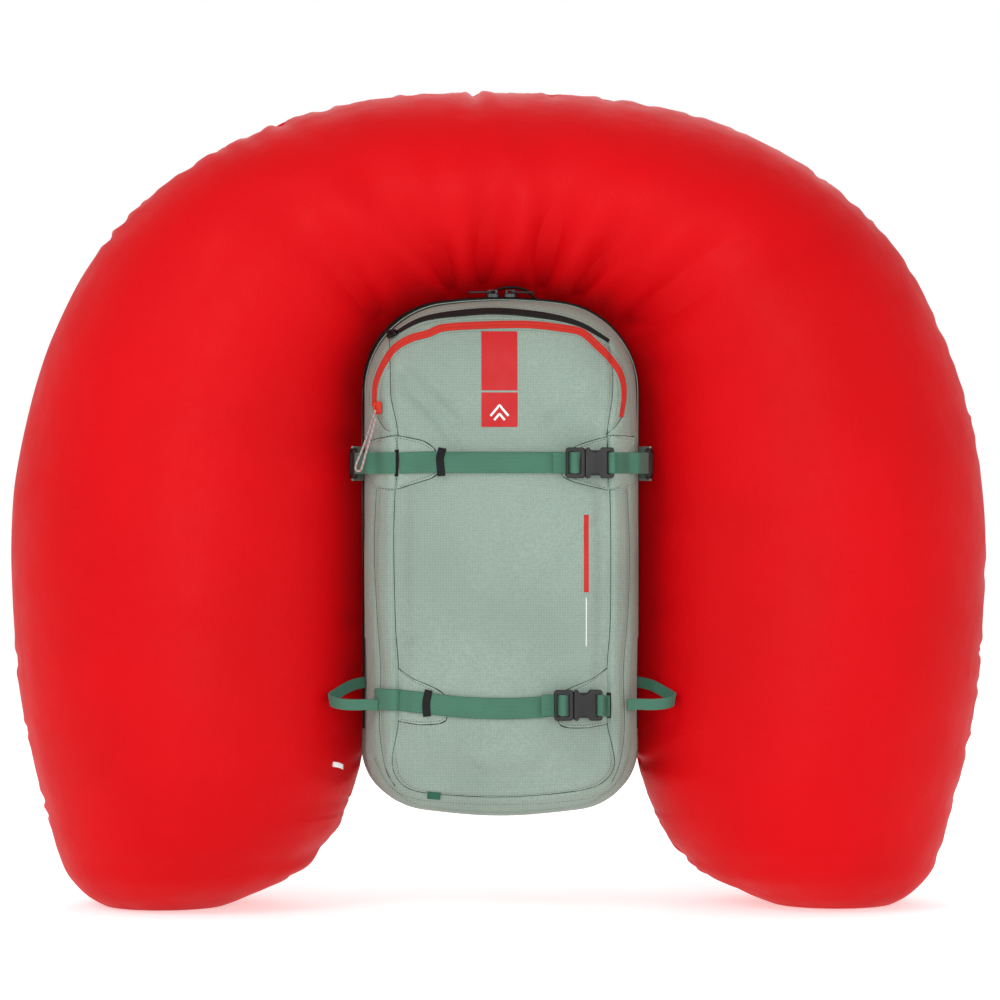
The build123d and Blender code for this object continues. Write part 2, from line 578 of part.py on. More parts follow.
def inflator():
    """The venturi that draws in air as the gas rushes through it, its check flap and its hose."""
    x, y = 20.0, -52.0
    base, top = 452.0, 518.0
    wall = rod((x, y, base), (x, y, top), 30) - rod((x, y, base - 1), (x, y, top + 1), 26.5)
    waist = rod((x, y, base + 22), (x, y, base + 30), 26.6) - rod((x, y, base), (x, y, top), 19)
    grille = [block(x - 28, x + 28, y + dy - 1, y + dy + 1, base, base + 4) for dy in (-16, -8, 0, 8, 16)]
    body_v = wall + waist
    for bar in grille:
        body_v = body_v + (bar & rod((x, y, base - 1), (x, y, base + 6), 26.6))
    nozzle = rod((x, y, base + 6), (x, y, base + 20), 4.5)
    inlet = rod((x - 38, y, base + 10), (x, y, base + 10), 5.5)
    body_v = (body_v + nozzle + inlet) - rod((x - 39, y, base + 10), (x, y, base + 10), 3.0)
    body_v = body_v - rod((x, y, base + 10), (x, y, base + 21), 1.5)
    node("venturi", body_v)
    flap = rod((x, y, top + CLEAR), (x, y, top + 1.8), 28) + block(
        x - 8, x + 8, y + 20, y + 31, top + CLEAR, top + 1.8)
    node("check_flap", flap)
    hx, hy = HEAD
    node("pressure_hose", tube(
        [(hx + 18.2, hy, 384), (hx + 36, hy, 384), (hx + 44, hy - 2, 412), (x - 66, y + 1, base - 4),
         (x - 56, y, base + 10), (x - 38.2, y, base + 10)], 4.0))


port = shell_panels()
rear_compartment(port)
airbag()
zips()
zip_sliders()
side_pieces = strap_pieces()
front_buckles()
side_adjusters(side_pieces)
side_loops()
small_trim()
straps_of_harness = shoulder_straps()
sternum()
hip_belt(straps_of_harness)
cable(*trigger())
cylinder()
valve_head()
inflator()
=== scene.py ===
"""Avalanche airbag backpack with its airbag inflated: the looks, in metres, in the CAD frame."""
import json
import math

import bpy
import numpy as np
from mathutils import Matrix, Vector, noise
from mathutils.bvhtree import BVHTree


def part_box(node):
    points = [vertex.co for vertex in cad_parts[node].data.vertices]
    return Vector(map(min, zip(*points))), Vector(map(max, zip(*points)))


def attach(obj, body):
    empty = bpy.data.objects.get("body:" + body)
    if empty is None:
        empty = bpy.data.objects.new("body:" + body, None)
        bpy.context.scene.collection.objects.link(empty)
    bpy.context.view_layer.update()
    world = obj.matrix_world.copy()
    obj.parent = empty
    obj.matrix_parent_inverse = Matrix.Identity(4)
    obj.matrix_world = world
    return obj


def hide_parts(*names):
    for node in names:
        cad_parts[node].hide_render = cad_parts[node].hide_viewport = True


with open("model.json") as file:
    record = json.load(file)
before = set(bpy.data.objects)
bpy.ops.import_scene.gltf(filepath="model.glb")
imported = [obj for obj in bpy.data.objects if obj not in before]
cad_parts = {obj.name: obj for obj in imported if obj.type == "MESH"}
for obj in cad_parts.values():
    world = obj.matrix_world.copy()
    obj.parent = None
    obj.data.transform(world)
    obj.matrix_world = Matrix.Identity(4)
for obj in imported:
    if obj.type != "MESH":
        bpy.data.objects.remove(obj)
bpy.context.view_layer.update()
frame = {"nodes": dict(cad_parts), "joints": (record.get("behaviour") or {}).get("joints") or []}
rng = np.random.default_rng(11)
MM = 0.001
scene = bpy.context.scene
CAMERA, AIM_X, LENS = (-0.088, -3.6, 0.395), 0.0885, 132.3
LOOK_AT = Vector((0, 0, 0.35))
FLOOR_REACH, FLOOR_STEP, FLOOR_Z, FLOOR_GLOW = 40, 10, -0.0006, 0.46
UP = (0, 0, 1.0)
STRAP, STRAP_THICK, STRAP_LIFT = 20 * MM, 1.5 * MM, 2.1 * MM
MOUTH = 13.6 * MM  # from the middle of a female buckle to its mouth
GAP_RAY = 1.2 * MM  # to the neighbour rays that step over a hairline gap
FRONT_Y = -0.1125  # the last row of the shell's sides, where the front face begins


# ---------------------------------------------------------------- camera, light, floor
def studio():
    data = bpy.data.cameras.new("camera")
    data.sensor_width = 36.0
    data.lens = LENS
    camera = bpy.data.objects.new("camera", data)
    scene.collection.objects.link(camera)
    camera.location = CAMERA
    camera.rotation_euler = (math.radians(90), 0, -math.atan2(AIM_X, -CAMERA[1]))
    scene.camera = camera
    scene.view_settings.view_transform = "Standard"
    world = bpy.data.worlds.new("world")
    scene.world = world
    world.use_nodes = True
    sky = world.node_tree.nodes
    sky["Background"].inputs["Color"].default_value = (1, 1, 1, 1)
    where, split, span = (sky.new(kind) for kind in ("ShaderNodeTexCoord", "ShaderNodeSeparateXYZ",
        "ShaderNodeMapRange"))
    for name, value in (("From Min", 0.3), ("From Max", 0.95), ("To Min", 1.0), ("To Max", 0.25)):
        span.inputs[name].default_value = value
    world.node_tree.links.new(where.outputs["Generated"], split.inputs[0])
    world.node_tree.links.new(split.outputs[2], span.inputs["Value"])
    world.node_tree.links.new(span.outputs[0], sky["Background"].inputs["Strength"])
    lights = (("key", (-1.9, -2.6, 2.6), 1.4, 34), ("fill", (2.4, -2.6, 1.3), 2.2, 8), ("rim", (0.3, 2.6, 2.4), 2.2,
        24), ("front", (-0.1, -4.3, 0.85), 1.4, 52), ("top", (0, -0.3, 3.4), 3.0, 22))
    for name, place, size, power in lights:
        light = bpy.data.lights.new(name, "AREA")
        light.size = size
        light.energy = power
        lamp = bpy.data.objects.new(name, light)
        scene.collection.objects.link(lamp)
        lamp.location = place
        lamp.rotation_euler = (LOOK_AT - Vector(place)).to_track_quat("-Z", "Y").to_euler()
    white, stage = plain("stage", (0.93, 0.93, 0.93), 0.9)
    stage.bsdf.inputs["Emission Color"].default_value = (1, 1, 1, 1)
    stage.bsdf.inputs["Emission Strength"].default_value = FLOOR_GLOW
    across = range(-FLOOR_REACH, FLOOR_REACH + 1, FLOOR_STEP)
    floor = mesh_object("floor", [(x, y, FLOOR_Z) for x in across for y in across], grid_faces(len(across),
        len(across)), white)


# ---------------------------------------------------------------- materials
class Mat:
    def __init__(self, name, **sockets):
        self.m = bpy.data.materials.new(name)
        self.m.use_nodes = True
        self.nt = self.m.node_tree
        self.bsdf = self.nt.nodes["Principled BSDF"]
        for key, value in sockets.items():
            self.bsdf.inputs[key.replace("_", " ")].default_value = value

    def n(self, kind, ins=None, out=0, **props):
        node = self.nt.nodes.new(kind)
        for key, value in props.items():
            setattr(node, key, value)
        for key, value in (ins or {}).items():
            if isinstance(value, bpy.types.NodeSocket):
                self.nt.links.new(value, node.inputs[key])
            else:
                node.inputs[key].default_value = value
        return node.outputs[out]

    def math(self, op, a, b=0.0, c=0.0):
        return self.n("ShaderNodeMath", {0: a, 1: b, 2: c}, operation=op)

    def mul(self, a, b):
        return self.math("MULTIPLY", a, b)

    def add(self, a, b):
        return self.math("ADD", a, b)

    def mix(self, fac, a, b):
        return self.n("ShaderNodeMix", {0: fac, 6: a, 7: b}, out=2, data_type="RGBA")

    def smooth(self, value, low, high, to_low=0.0, to_high=1.0):
        ins = {"Value": value, "From Min": low, "From Max": high, "To Min": to_low, "To Max": to_high}
        return self.n("ShaderNodeMapRange", ins, interpolation_type="SMOOTHSTEP")

    def noise(self, scale, detail=3.0, vector=None):
        where = vector or self.n("ShaderNodeTexCoord", out="Object")
        return self.n("ShaderNodeTexNoise", {"Vector": where, "Scale": scale, "Detail": detail})

    def lines(self, coord, pitch, width):
        """1 on thin lines a pitch apart, 0 between them."""
        part = self.math("FRACT", self.math("DIVIDE", coord, pitch))
        return self.smooth(self.math("ABSOLUTE", self.math("SUBTRACT", part, 0.5)), 0.5 - width / 2, 0.5)

    def wave(self, coord, pitch):
        return self.math("SINE", self.mul(coord, 2 * math.pi / pitch))

    def axes(self, flat):
        """The two coordinates of the cloth: its own map, or the part's frame folded flat."""
        if flat:
            uv = self.n("ShaderNodeUVMap", uv_map="UVMap")
            return [self.n("ShaderNodeSeparateXYZ", {0: uv}, out=k) for k in (0, 1)]
        x, y, z = (self.n("ShaderNodeSeparateXYZ", {0: self.n("ShaderNodeTexCoord", out="Object")},
            out=k) for k in range(3))
        return self.add(x, y), z

    def link(self, name, value):
        self.nt.links.new(value, self.bsdf.inputs[name])

    def vary(self, scale, low, high):
        """Slow change between two values."""
        return self.smooth(self.noise(scale), 0.2, 0.8, low, high)

    def done(self, color, rough, normal):
        for name, value in (("Base Color", color), ("Roughness", rough), ("Normal", normal)):
            self.link(name, value)
        return self.m

    def bump(self, height, distance, strength=1.0, normal=None):
        ins = {"Strength": strength, "Distance": distance, "Height": height}
        if normal is not None:
            ins["Normal"] = normal
        return self.n("ShaderNodeBump", ins)


def rgba(color, gain=1.0):
    return tuple(min(1.0, c * gain) for c in color) + (1.0,)


def plain(name, color, rough):
    mat = Mat(name, Roughness=rough)
    tone = mat.mix(mat.smooth(mat.noise(6), 0.3, 0.7), rgba(color, 0.985), rgba(color))
    mat.link("Base Color", tone)
    return mat.m, mat


def ripstop(name, color, pitch=2.5 * MM, line=0.34, gain=1.32, rough=0.78, sheen=0.10, vary=0.12, weave=0.9 * MM,
        flat=True):
    """Woven cloth with the thicker threads of a ripstop grid, faint mottling and a worn bloom."""
    mat = Mat(name, Sheen_Weight=sheen, Sheen_Roughness=0.45, Specular_IOR_Level=0.3)
    x, y = mat.axes(flat)
    grid = mat.math("MAXIMUM", mat.lines(x, pitch, line), mat.lines(y, pitch, line))
    fine = mat.mul(mat.wave(x, weave), mat.wave(y, weave))
    slow = mat.smooth(mat.noise(9, 4), 0.3, 0.7)
    heather = mat.smooth(mat.noise(480, 3), 0.3, 0.7)
    tone = mat.mix(slow, rgba(color, 1 - vary), rgba(color, 1 + vary * 0.6))
    tone = mat.mix(mat.mul(heather, 0.5), tone, rgba(color, 0.70))
    tone = mat.mix(mat.mul(grid, 0.42), tone, rgba(color, gain))
    height = mat.add(mat.mul(grid, 0.8), mat.mul(fine, 0.35))
    height = mat.add(height, mat.mul(heather, 0.4))
    return mat.done(tone, mat.vary(60, rough - 0.07, rough + 0.05), mat.bump(height, 0.10 * MM))


def airbag_cloth(name, color):
    """Thin coated nylon: a fine square grid, slight gloss and soft mottling, and a faint red emission that is painted
    light: the cloth glows so its shade looks lighter.
    """
    # Painted light: the red emission makes the cloth glow, lightening its shade next to the pack.
    mat = Mat(name, Sheen_Weight=0.0, Specular_IOR_Level=0.08, Emission_Color=(0.75, 0.001, 0.005, 1),
        Emission_Strength=0.10)
    x, y = mat.axes(True)
    grid = mat.math("MAXIMUM", mat.lines(x, 5.2 * MM, 0.16), mat.lines(y, 5.2 * MM, 0.16))
    slow = mat.smooth(mat.noise(5, 5), 0.3, 0.72)
    tone = mat.mix(slow, rgba(color, 0.90), rgba(color, 1.04))
    tone = mat.mix(mat.mul(grid, 0.22), tone, rgba(color, 0.82))
    crease = mat.smooth(mat.noise(55, 6), 0.42, 0.62)
    low = mat.bump(crease, 0.35 * MM, 0.35)
    return mat.done(tone, mat.vary(30, 0.46, 0.58), mat.bump(grid, 0.05 * MM, 0.8, low))


def webbing(name, color, rough=0.72, rib=1.25 * MM, sheen=0.12, flat=True):
    """Flat woven tape: ribs along its length, crossed by a fine diagonal weave, faded here and there."""
    mat = Mat(name, Sheen_Weight=sheen, Sheen_Roughness=0.4, Specular_IOR_Level=0.2)
    x, y = mat.axes(flat)
    zigzag = mat.mul(mat.math("ABSOLUTE", mat.math("SUBTRACT", mat.math("FRACT", mat.math("DIVIDE", y, 2 * rib)),
        0.5)), 2 * rib)
    weave = mat.add(mat.mul(mat.wave(mat.add(x, zigzag), 1.3 * MM), 0.5), 0.5)
    ribs = mat.add(mat.mul(mat.wave(y, rib), 0.5), 0.5)
    height = mat.add(mat.mul(weave, 0.55), mat.mul(ribs, 0.6))
    # Partly the weave's own pattern, partly painted shade: the tone follows the bump height, darker in the weave's
    # hollows and lighter on its ridges.
    tone = mat.mix(mat.smooth(height, 0.2, 1.0), rgba(color, 0.72), rgba(color, 1.14))
    fade = mat.smooth(mat.noise(24, 4), 0.35, 0.7)
    tone = mat.mix(mat.mul(fade, 0.22), tone, rgba(color, 1.3))
    return mat.done(tone, mat.vary(90, rough - 0.08, rough + 0.06), mat.bump(height, 0.16 * MM))


def mesh_cloth(name, color, scale=640):
    """Spacer mesh: a knit of small open cells."""
    mat = Mat(name, Sheen_Weight=0.25, Sheen_Roughness=0.5, Specular_IOR_Level=0.25)
    where = mat.n("ShaderNodeTexCoord", out="Object")
    cell = mat.n("ShaderNodeTexVoronoi", {"Vector": where, "Scale": scale}, feature="F1")
    open_cell = mat.smooth(cell, 0.15, 0.55)
    # Painted shade: the open cells are darkened where the bump sinks, as shade inside the holes.
    tone = mat.mix(open_cell, rgba(color, 0.35), rgba(color, 1.25))
    tone = mat.mix(mat.mul(mat.smooth(mat.noise(14, 4), 0.35, 0.7), 0.4), tone, rgba(color, 1.7))
    return mat.done(tone, mat.vary(40, 0.78, 0.92), mat.bump(open_cell, 0.35 * MM))


def moulded(name, color, rough=0.42, grain=900, coat=0.0, wear=0.5):
    """Injection moulded plastic with a fine spark texture and rubbed high spots."""
    mat = Mat(name, Specular_IOR_Level=0.3, Coat_Weight=coat, Coat_Roughness=0.25)
    spark = mat.noise(grain, 2)
    slow = mat.smooth(mat.noise(45, 4), 0.4, 0.7)
    return mat.done(mat.mix(mat.mul(slow, wear), rgba(color), rgba(color, 1.5)), mat.smooth(mat.noise(70, 4), 0.2,
        0.8, rough - 0.08, rough + 0.1), mat.bump(spark, 0.05 * MM, 0.6))


def metal(name, color, rough=0.3):
    """Drawn or brushed metal."""
    mat = Mat(name, Metallic=1.0)
    where = mat.n("ShaderNodeTexCoord", out="Object")
    long = mat.n("ShaderNodeMapping", {"Vector": where, "Scale": (60, 60, 3)})
    brush = mat.noise(18, 5, long)
    return mat.done(mat.mix(mat.smooth(mat.noise(20), 0.3, 0.7), rgba(color, 0.86), rgba(color, 1.05)),
        mat.smooth(brush, 0.3, 0.7, rough - 0.08, rough + 0.14), mat.bump(brush, 0.03 * MM, 0.5))


def cord_cloth(name, base, tracer):
    """Braided cord with one coloured tracer thread running round it."""
    mat = Mat(name, Sheen_Weight=0.2, Sheen_Roughness=0.5, Specular_IOR_Level=0.3)
    x, y = mat.axes(True)
    braid = mat.mul(mat.wave(mat.add(x, y), 0.0014), mat.wave(mat.math("SUBTRACT", x, y), 0.0014))
    # Partly the braid's pattern, partly painted shade: darker in the braid's hollows and lighter on its raised
    # strands.
    tone = mat.mix(mat.smooth(braid, -0.6, 0.6), rgba(base, 0.6), rgba(base, 1.15))
    tone = mat.mix(mat.lines(mat.add(x, mat.mul(y, 0.9)), 0.0052, 0.34), tone, rgba(tracer))
    return mat.done(tone, mat.vary(200, 0.7, 0.85), mat.bump(braid, 0.12 * MM))


SAGE = (0.219, 0.289, 0.242)
SAGE_LIGHT = (0.240, 0.312, 0.262)
GREEN = (0.050, 0.148, 0.099)
RED = (0.47, 0.0008, 0.003)
ZIP_RED = (0.47, 0.021, 0.012)
PRINT_RED = (0.41, 0.007, 0.009)
BLACK = (0.006, 0.006, 0.0065)
MATS = {}


def materials():
    MATS.update(
        shell=ripstop("shell fabric", SAGE),
        shell_flat=ripstop("shell fabric on the frame side", SAGE, flat=False),
        patch=ripstop("reinforcement fabric", SAGE_LIGHT, pitch=2.2 * MM, line=0.5, weave=1.1 * MM, gain=1.05),
        airbag=airbag_cloth("airbag fabric", RED),
        web=webbing("green webbing", GREEN),
        web_black=webbing("black webbing", (0.010, 0.010, 0.011), sheen=0.03),
        elastic=webbing("black elastic", (0.007, 0.007, 0.007), rib=0.9 * MM, sheen=0.02),
        zip_red=webbing("red zip tape", ZIP_RED, rough=0.55, rib=0.8 * MM),
        zip_black=webbing("black zip tape", (0.007, 0.008, 0.008), rough=0.6, rib=0.8 * MM, sheen=0.0),
        plastic=moulded("black moulded plastic", BLACK),
        rubber=moulded("rubber pull", (0.010, 0.010, 0.011), rough=0.62, grain=500),
        thread=moulded("seam cord", (0.022, 0.034, 0.028), rough=0.8, grain=1600),
        stitch=moulded("stitching", (0.028, 0.045, 0.036), rough=0.8, grain=1600),
        binding=webbing("binding tape", (0.008, 0.008, 0.009), rib=1.0 * MM, sheen=0.02),
        print_red=moulded("red label", PRINT_RED, rough=0.6, grain=700, wear=0.12),
        print_white=moulded("white print", (0.66, 0.67, 0.66), rough=0.6, grain=700, wear=0.1),
        mesh=mesh_cloth("spacer mesh", (0.052, 0.054, 0.057)),
        pad_face=mesh_cloth("harness cloth", (0.030, 0.031, 0.033), scale=1300),
        handle=moulded("red grip", (0.50, 0.030, 0.012), rough=0.45, coat=0.05),
        steel=metal("ground steel", (0.62, 0.62, 0.61)),
        alloy=metal("brushed aluminium", (0.78, 0.78, 0.79), rough=0.34),
        dark_metal=metal("black coated metal", (0.035, 0.035, 0.036), rough=0.36),
        cord=cord_cloth("pull cord", (0.34, 0.35, 0.34), ZIP_RED),
        tab=webbing("green ribbon", (0.02, 0.10, 0.06)))


# ---------------------------------------------------------------- mesh helpers
def unit(rows):
    """Rows scaled to length 1."""
    return rows / np.linalg.norm(rows, axis=-1, keepdims=True)


def running(points):
    """The length of a line from its start to each of its points."""
    return np.concatenate([[0], np.cumsum(np.linalg.norm(np.diff(points, axis=0), axis=1))])


def tangents(points):
    return unit(np.gradient(points, axis=0))


def grid_faces(n, m, wrap=False):
    """Quads of an n by m grid of points, row by row, closed across its columns if asked."""
    i, j = np.meshgrid(np.arange(n - 1), np.arange(m if wrap else m - 1), indexing="ij")
    k = (j + 1) % m
    return np.stack([i * m + j, i * m + k, (i + 1) * m + k, (i + 1) * m + j], -1).reshape(-1, 4)


def capped_faces(n, m):
    """The faces of a closed tube of n rings with m points each."""
    return [tuple(f) for f in grid_faces(n, m, wrap=True)] + [tuple(range(m))[::-1],
        tuple((n - 1) * m + k for k in range(m))]


def mesh_object(name, verts, faces, mat, uv=None):
    mat = MATS.get(mat, mat)
    me = bpy.data.meshes.new(name)
    me.from_pydata([tuple(v) for v in np.asarray(verts, float)], [], [tuple(int(i) for i in f) for f in faces])
    me.update()
    if uv is not None:
        layer = me.uv_layers.new(name="UVMap")
        at = np.zeros(len(me.loops), np.int32)
        me.loops.foreach_get("vertex_index", at)
        layer.data.foreach_set("uv", np.asarray(uv, np.float32)[at].ravel())
    me.polygons.foreach_set("use_smooth", [True] * len(me.polygons))
    obj = bpy.data.objects.new(name, me)
    scene.collection.objects.link(obj)
    me.materials.append(mat)
    return obj


def evaluated(obj):
    """A new mesh of an object as its modifiers leave it."""
    bpy.context.view_layer.update()
    return bpy.data.meshes.new_from_object(obj.evaluated_get(bpy.context.evaluated_depsgraph_get()))


def voxel_copy(node, name, voxel):
    """A copy of a CAD piece with a voxel remesh on it."""
    obj = bpy.data.objects.new(name, frame["nodes"][node].data.copy())
    scene.collection.objects.link(obj)
    mod = obj.modifiers.new("voxels", "REMESH")
    mod.mode = "VOXEL"
    mod.voxel_size = voxel
    return obj


def smoothed(obj, rounds):
    soft = obj.modifiers.new("soft", "SMOOTH")
    soft.factor = 0.5
    soft.iterations = rounds


def settle(obj, mat):
    """Keep an object's evaluated mesh in place of its modifiers, with one material."""
    me = evaluated(obj)
    obj.modifiers.clear()
    obj.data = me
    me.materials.clear()
    me.materials.append(MATS.get(mat, mat))
    me.polygons.foreach_set("use_smooth", [True] * len(me.polygons))
    return me


def skin_tree(me):
    return BVHTree.FromPolygons([v.co.copy() for v in me.vertices], [list(f.vertices) for f in me.polygons])


def put(obj, body="pack", replaces=()):
    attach(obj, body)
    if replaces:
        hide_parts(*replaces)
    return obj


def cast(tree, start, direction, shift):
    """A ray's hit; a neighbour ray's hit stands in where the ray falls into a hairline gap between two panels."""
    best = None
    for k in (0, 1, -1):
        hit, normal, _, far = tree.ray_cast(start + shift * k, direction)
        if hit is not None and (best is None or far < best[2] - 2.5 * MM):
            best = (hit - shift * k, normal, far)
    return best or (None, None, None)


def tree_of(*nodes):
    verts, faces = [], []
    for name in nodes:
        me = frame["nodes"][name].data
        start = len(verts)
        verts += [v.co.copy() for v in me.vertices]
        faces += [[i + start for i in p.vertices] for p in me.polygons]
    return BVHTree.FromPolygons(verts, faces)


def curve_points(points, step, closed=False):
    """A smooth line through points, sampled evenly: Catmull-Rom with chord spacing."""
    p = np.array(points, float)
    if len(p) == 2:
        n = max(2, int(np.linalg.norm(p[1] - p[0]) / step) + 1)
        return p[0] + (p[1] - p[0]) * np.linspace(0, 1, n)[:, None]
    ext = np.vstack([p[-1:], p, p[:2]]) if closed else np.vstack([2 * p[0] - p[1], p, 2 * p[-1] - p[-2]])
    out = []
    for k in range(len(ext) - 3):
        a, b, c, d = ext[k:k + 4]
        t = np.linspace(0, 1, 24, endpoint=False)[:, None]
        out.append(0.5 * (2 * b + (c - a) * t + (2 * a - 5 * b + 4 * c - d) * t ** 2
                          + (3 * b - a - 3 * c + d) * t ** 3))
    dense = np.vstack(out + [ext[-2:-1]])
    run = running(dense)
    n = max(3, int(run[-1] / step) + 1)
    want = np.linspace(0, run[-1], n)
    return np.stack([np.interp(want, run, dense[:, k]) for k in range(dense.shape[1])], -1)


def tube(name, points, radius, mat, sides=8):
    """A round tube along points."""
    p = np.asarray(points, float)
    n = len(p)
    t = np.gradient(p, axis=0)
    t /= np.linalg.norm(t, axis=1)[:, None] + 1e-12
    side = np.cross(t[0], (0.3, 0.5, 0.81))
    side /= np.linalg.norm(side)
    rings, uv, s = [], [], 0.0
    ang = np.arange(sides) * 2 * math.pi / sides
    for i in range(n):
        side = side - t[i] * side.dot(t[i])
        side /= np.linalg.norm(side)
        other = np.cross(t[i], side)
        if i:
            s += np.linalg.norm(p[i] - p[i - 1])
        rings.append(p[i] + radius * (np.cos(ang)[:, None] * side + np.sin(ang)[:, None] * other))
        uv += [(s, a * radius) for a in ang]
    return mesh_object(name, np.vstack(rings), capped_faces(n, sides), mat, uv)


def ribbon(name, centres, across, normals, width, thick, mat, groove=0.0, edge=0.35):
    """A flat tape: a closed rounded section carried along centres, with unit vectors across it and out of it."""
    c, a, nrm = (np.broadcast_to(np.asarray(v, float), np.shape(centres)) for v in (centres, across, normals))
    n = len(c)
    ws = np.array([-0.5, -0.485, -0.44, -0.25, -0.06, 0.0, 0.06, 0.25, 0.44, 0.485, 0.5])
    top = np.array([1 - edge, 1 - edge * 0.3, 1, 1, 1, 1 - groove, 1, 1, 1, 1 - edge * 0.3, 1 - edge])
    section = [(w, h) for w, h in zip(ws, top)] + [(w, 0.0) for w in ws[::-1]]
    verts, uv = [], []
    run = running(c)
    for i in range(n):
        for w, h in section:
            verts.append(c[i] + a[i] * (w * width) + nrm[i] * (h * thick))
            uv.append((run[i], w * width))
    return mesh_object(name, verts, capped_faces(n, len(section)), mat, uv)


def side_ribbon(name, path, width, thick, mat, lean=(0, 0, 1.0)):
    """A tape whose width stands along lean, on a path in space; its outer face is to the left."""
    c = curve_points(path, 2 * MM)
    t = tangents(c)
    up = np.array(lean)
    a = unit(up - t * (t @ up)[:, None])
    nrm = np.cross(t, a)
    return ribbon(name, c - nrm * thick / 2, a, nrm, width, thick, mat)


# ---------------------------------------------------------------- the pack's surface
SHELL_NODES = ("front_panel", "front_gusset", "rear_gusset", "bottom_boot")
MID = np.array([0.0, 0.34])
SEAM_IN_L = [(-0.1075, 0.550), (-0.1065, 0.520), (-0.1055, 0.492), (-0.099, 0.457), (-0.101, 0.42), (-0.103, 0.36),
    (-0.1015, 0.28), (-0.0985, 0.236), (-0.0985, 0.187), (-0.1045, 0.150), (-0.100, 0.132), (-0.086, 0.121), (-0.055,
    0.1165), (0.0, 0.1145), (0.060, 0.1185), (0.092, 0.126), (0.1055, 0.142), (0.1035, 0.162), (0.0985, 0.187),
    (0.0985, 0.236), (0.1015, 0.28), (0.102, 0.36), (0.1005, 0.42), (0.0985, 0.457), (0.1035, 0.492), (0.1040, 0.520),
    (0.1005, 0.547)]
SEAM_OUT_L = [(-0.1195, 0.405), (-0.1215, 0.35), (-0.119, 0.29), (-0.1155, 0.235), (-0.1165, 0.18), (-0.111, 0.142),
    (-0.102, 0.124)]
SEAM_OUT_R = [(0.118, 0.405), (0.1205, 0.35), (0.119, 0.29), (0.1145, 0.235), (0.1155, 0.18), (0.111, 0.146), (0.104,
    0.128)]
SEAM_CURVE_L = [(-0.1185, 0.474), (-0.112, 0.463), (-0.1015, 0.457)]
SEAM_CURVE_R = [(0.1125, 0.473), (0.106, 0.464), (0.0975, 0.457)]
BOOT = [(-0.122, 0.150), (-0.108, 0.125), (-0.088, 0.1135), (-0.05, 0.1085), (0, 0.107), (0.05, 0.1085), (0.09,
    0.1145), (0.11, 0.128), (0.122, 0.152)]
surface = {}


def line_distance(x, z, points):
    """Distance in the front view from each point to a smooth line."""
    line = curve_points(points, 4 * MM)
    best = np.full(x.shape, 9.0)
    for a, b in zip(line, line[1:]):
        d = b - a
        t = np.clip(((x - a[0]) * d[0] + (z - a[1]) * d[1]) / (d @ d), 0, 1)
        best = np.minimum(best, np.hypot(x - a[0] - t * d[0], z - a[1] - t * d[1]))
    return best


def field(points, scale, seed=0.0):
    """Smooth noise from -1 to 1 at each point, stretched by scale along each axis."""
    s = Vector(scale)
    return np.array([noise.noise(Vector((p[0] * s.x + seed, p[1] * s.y, p[2] * s.z))) for p in points])


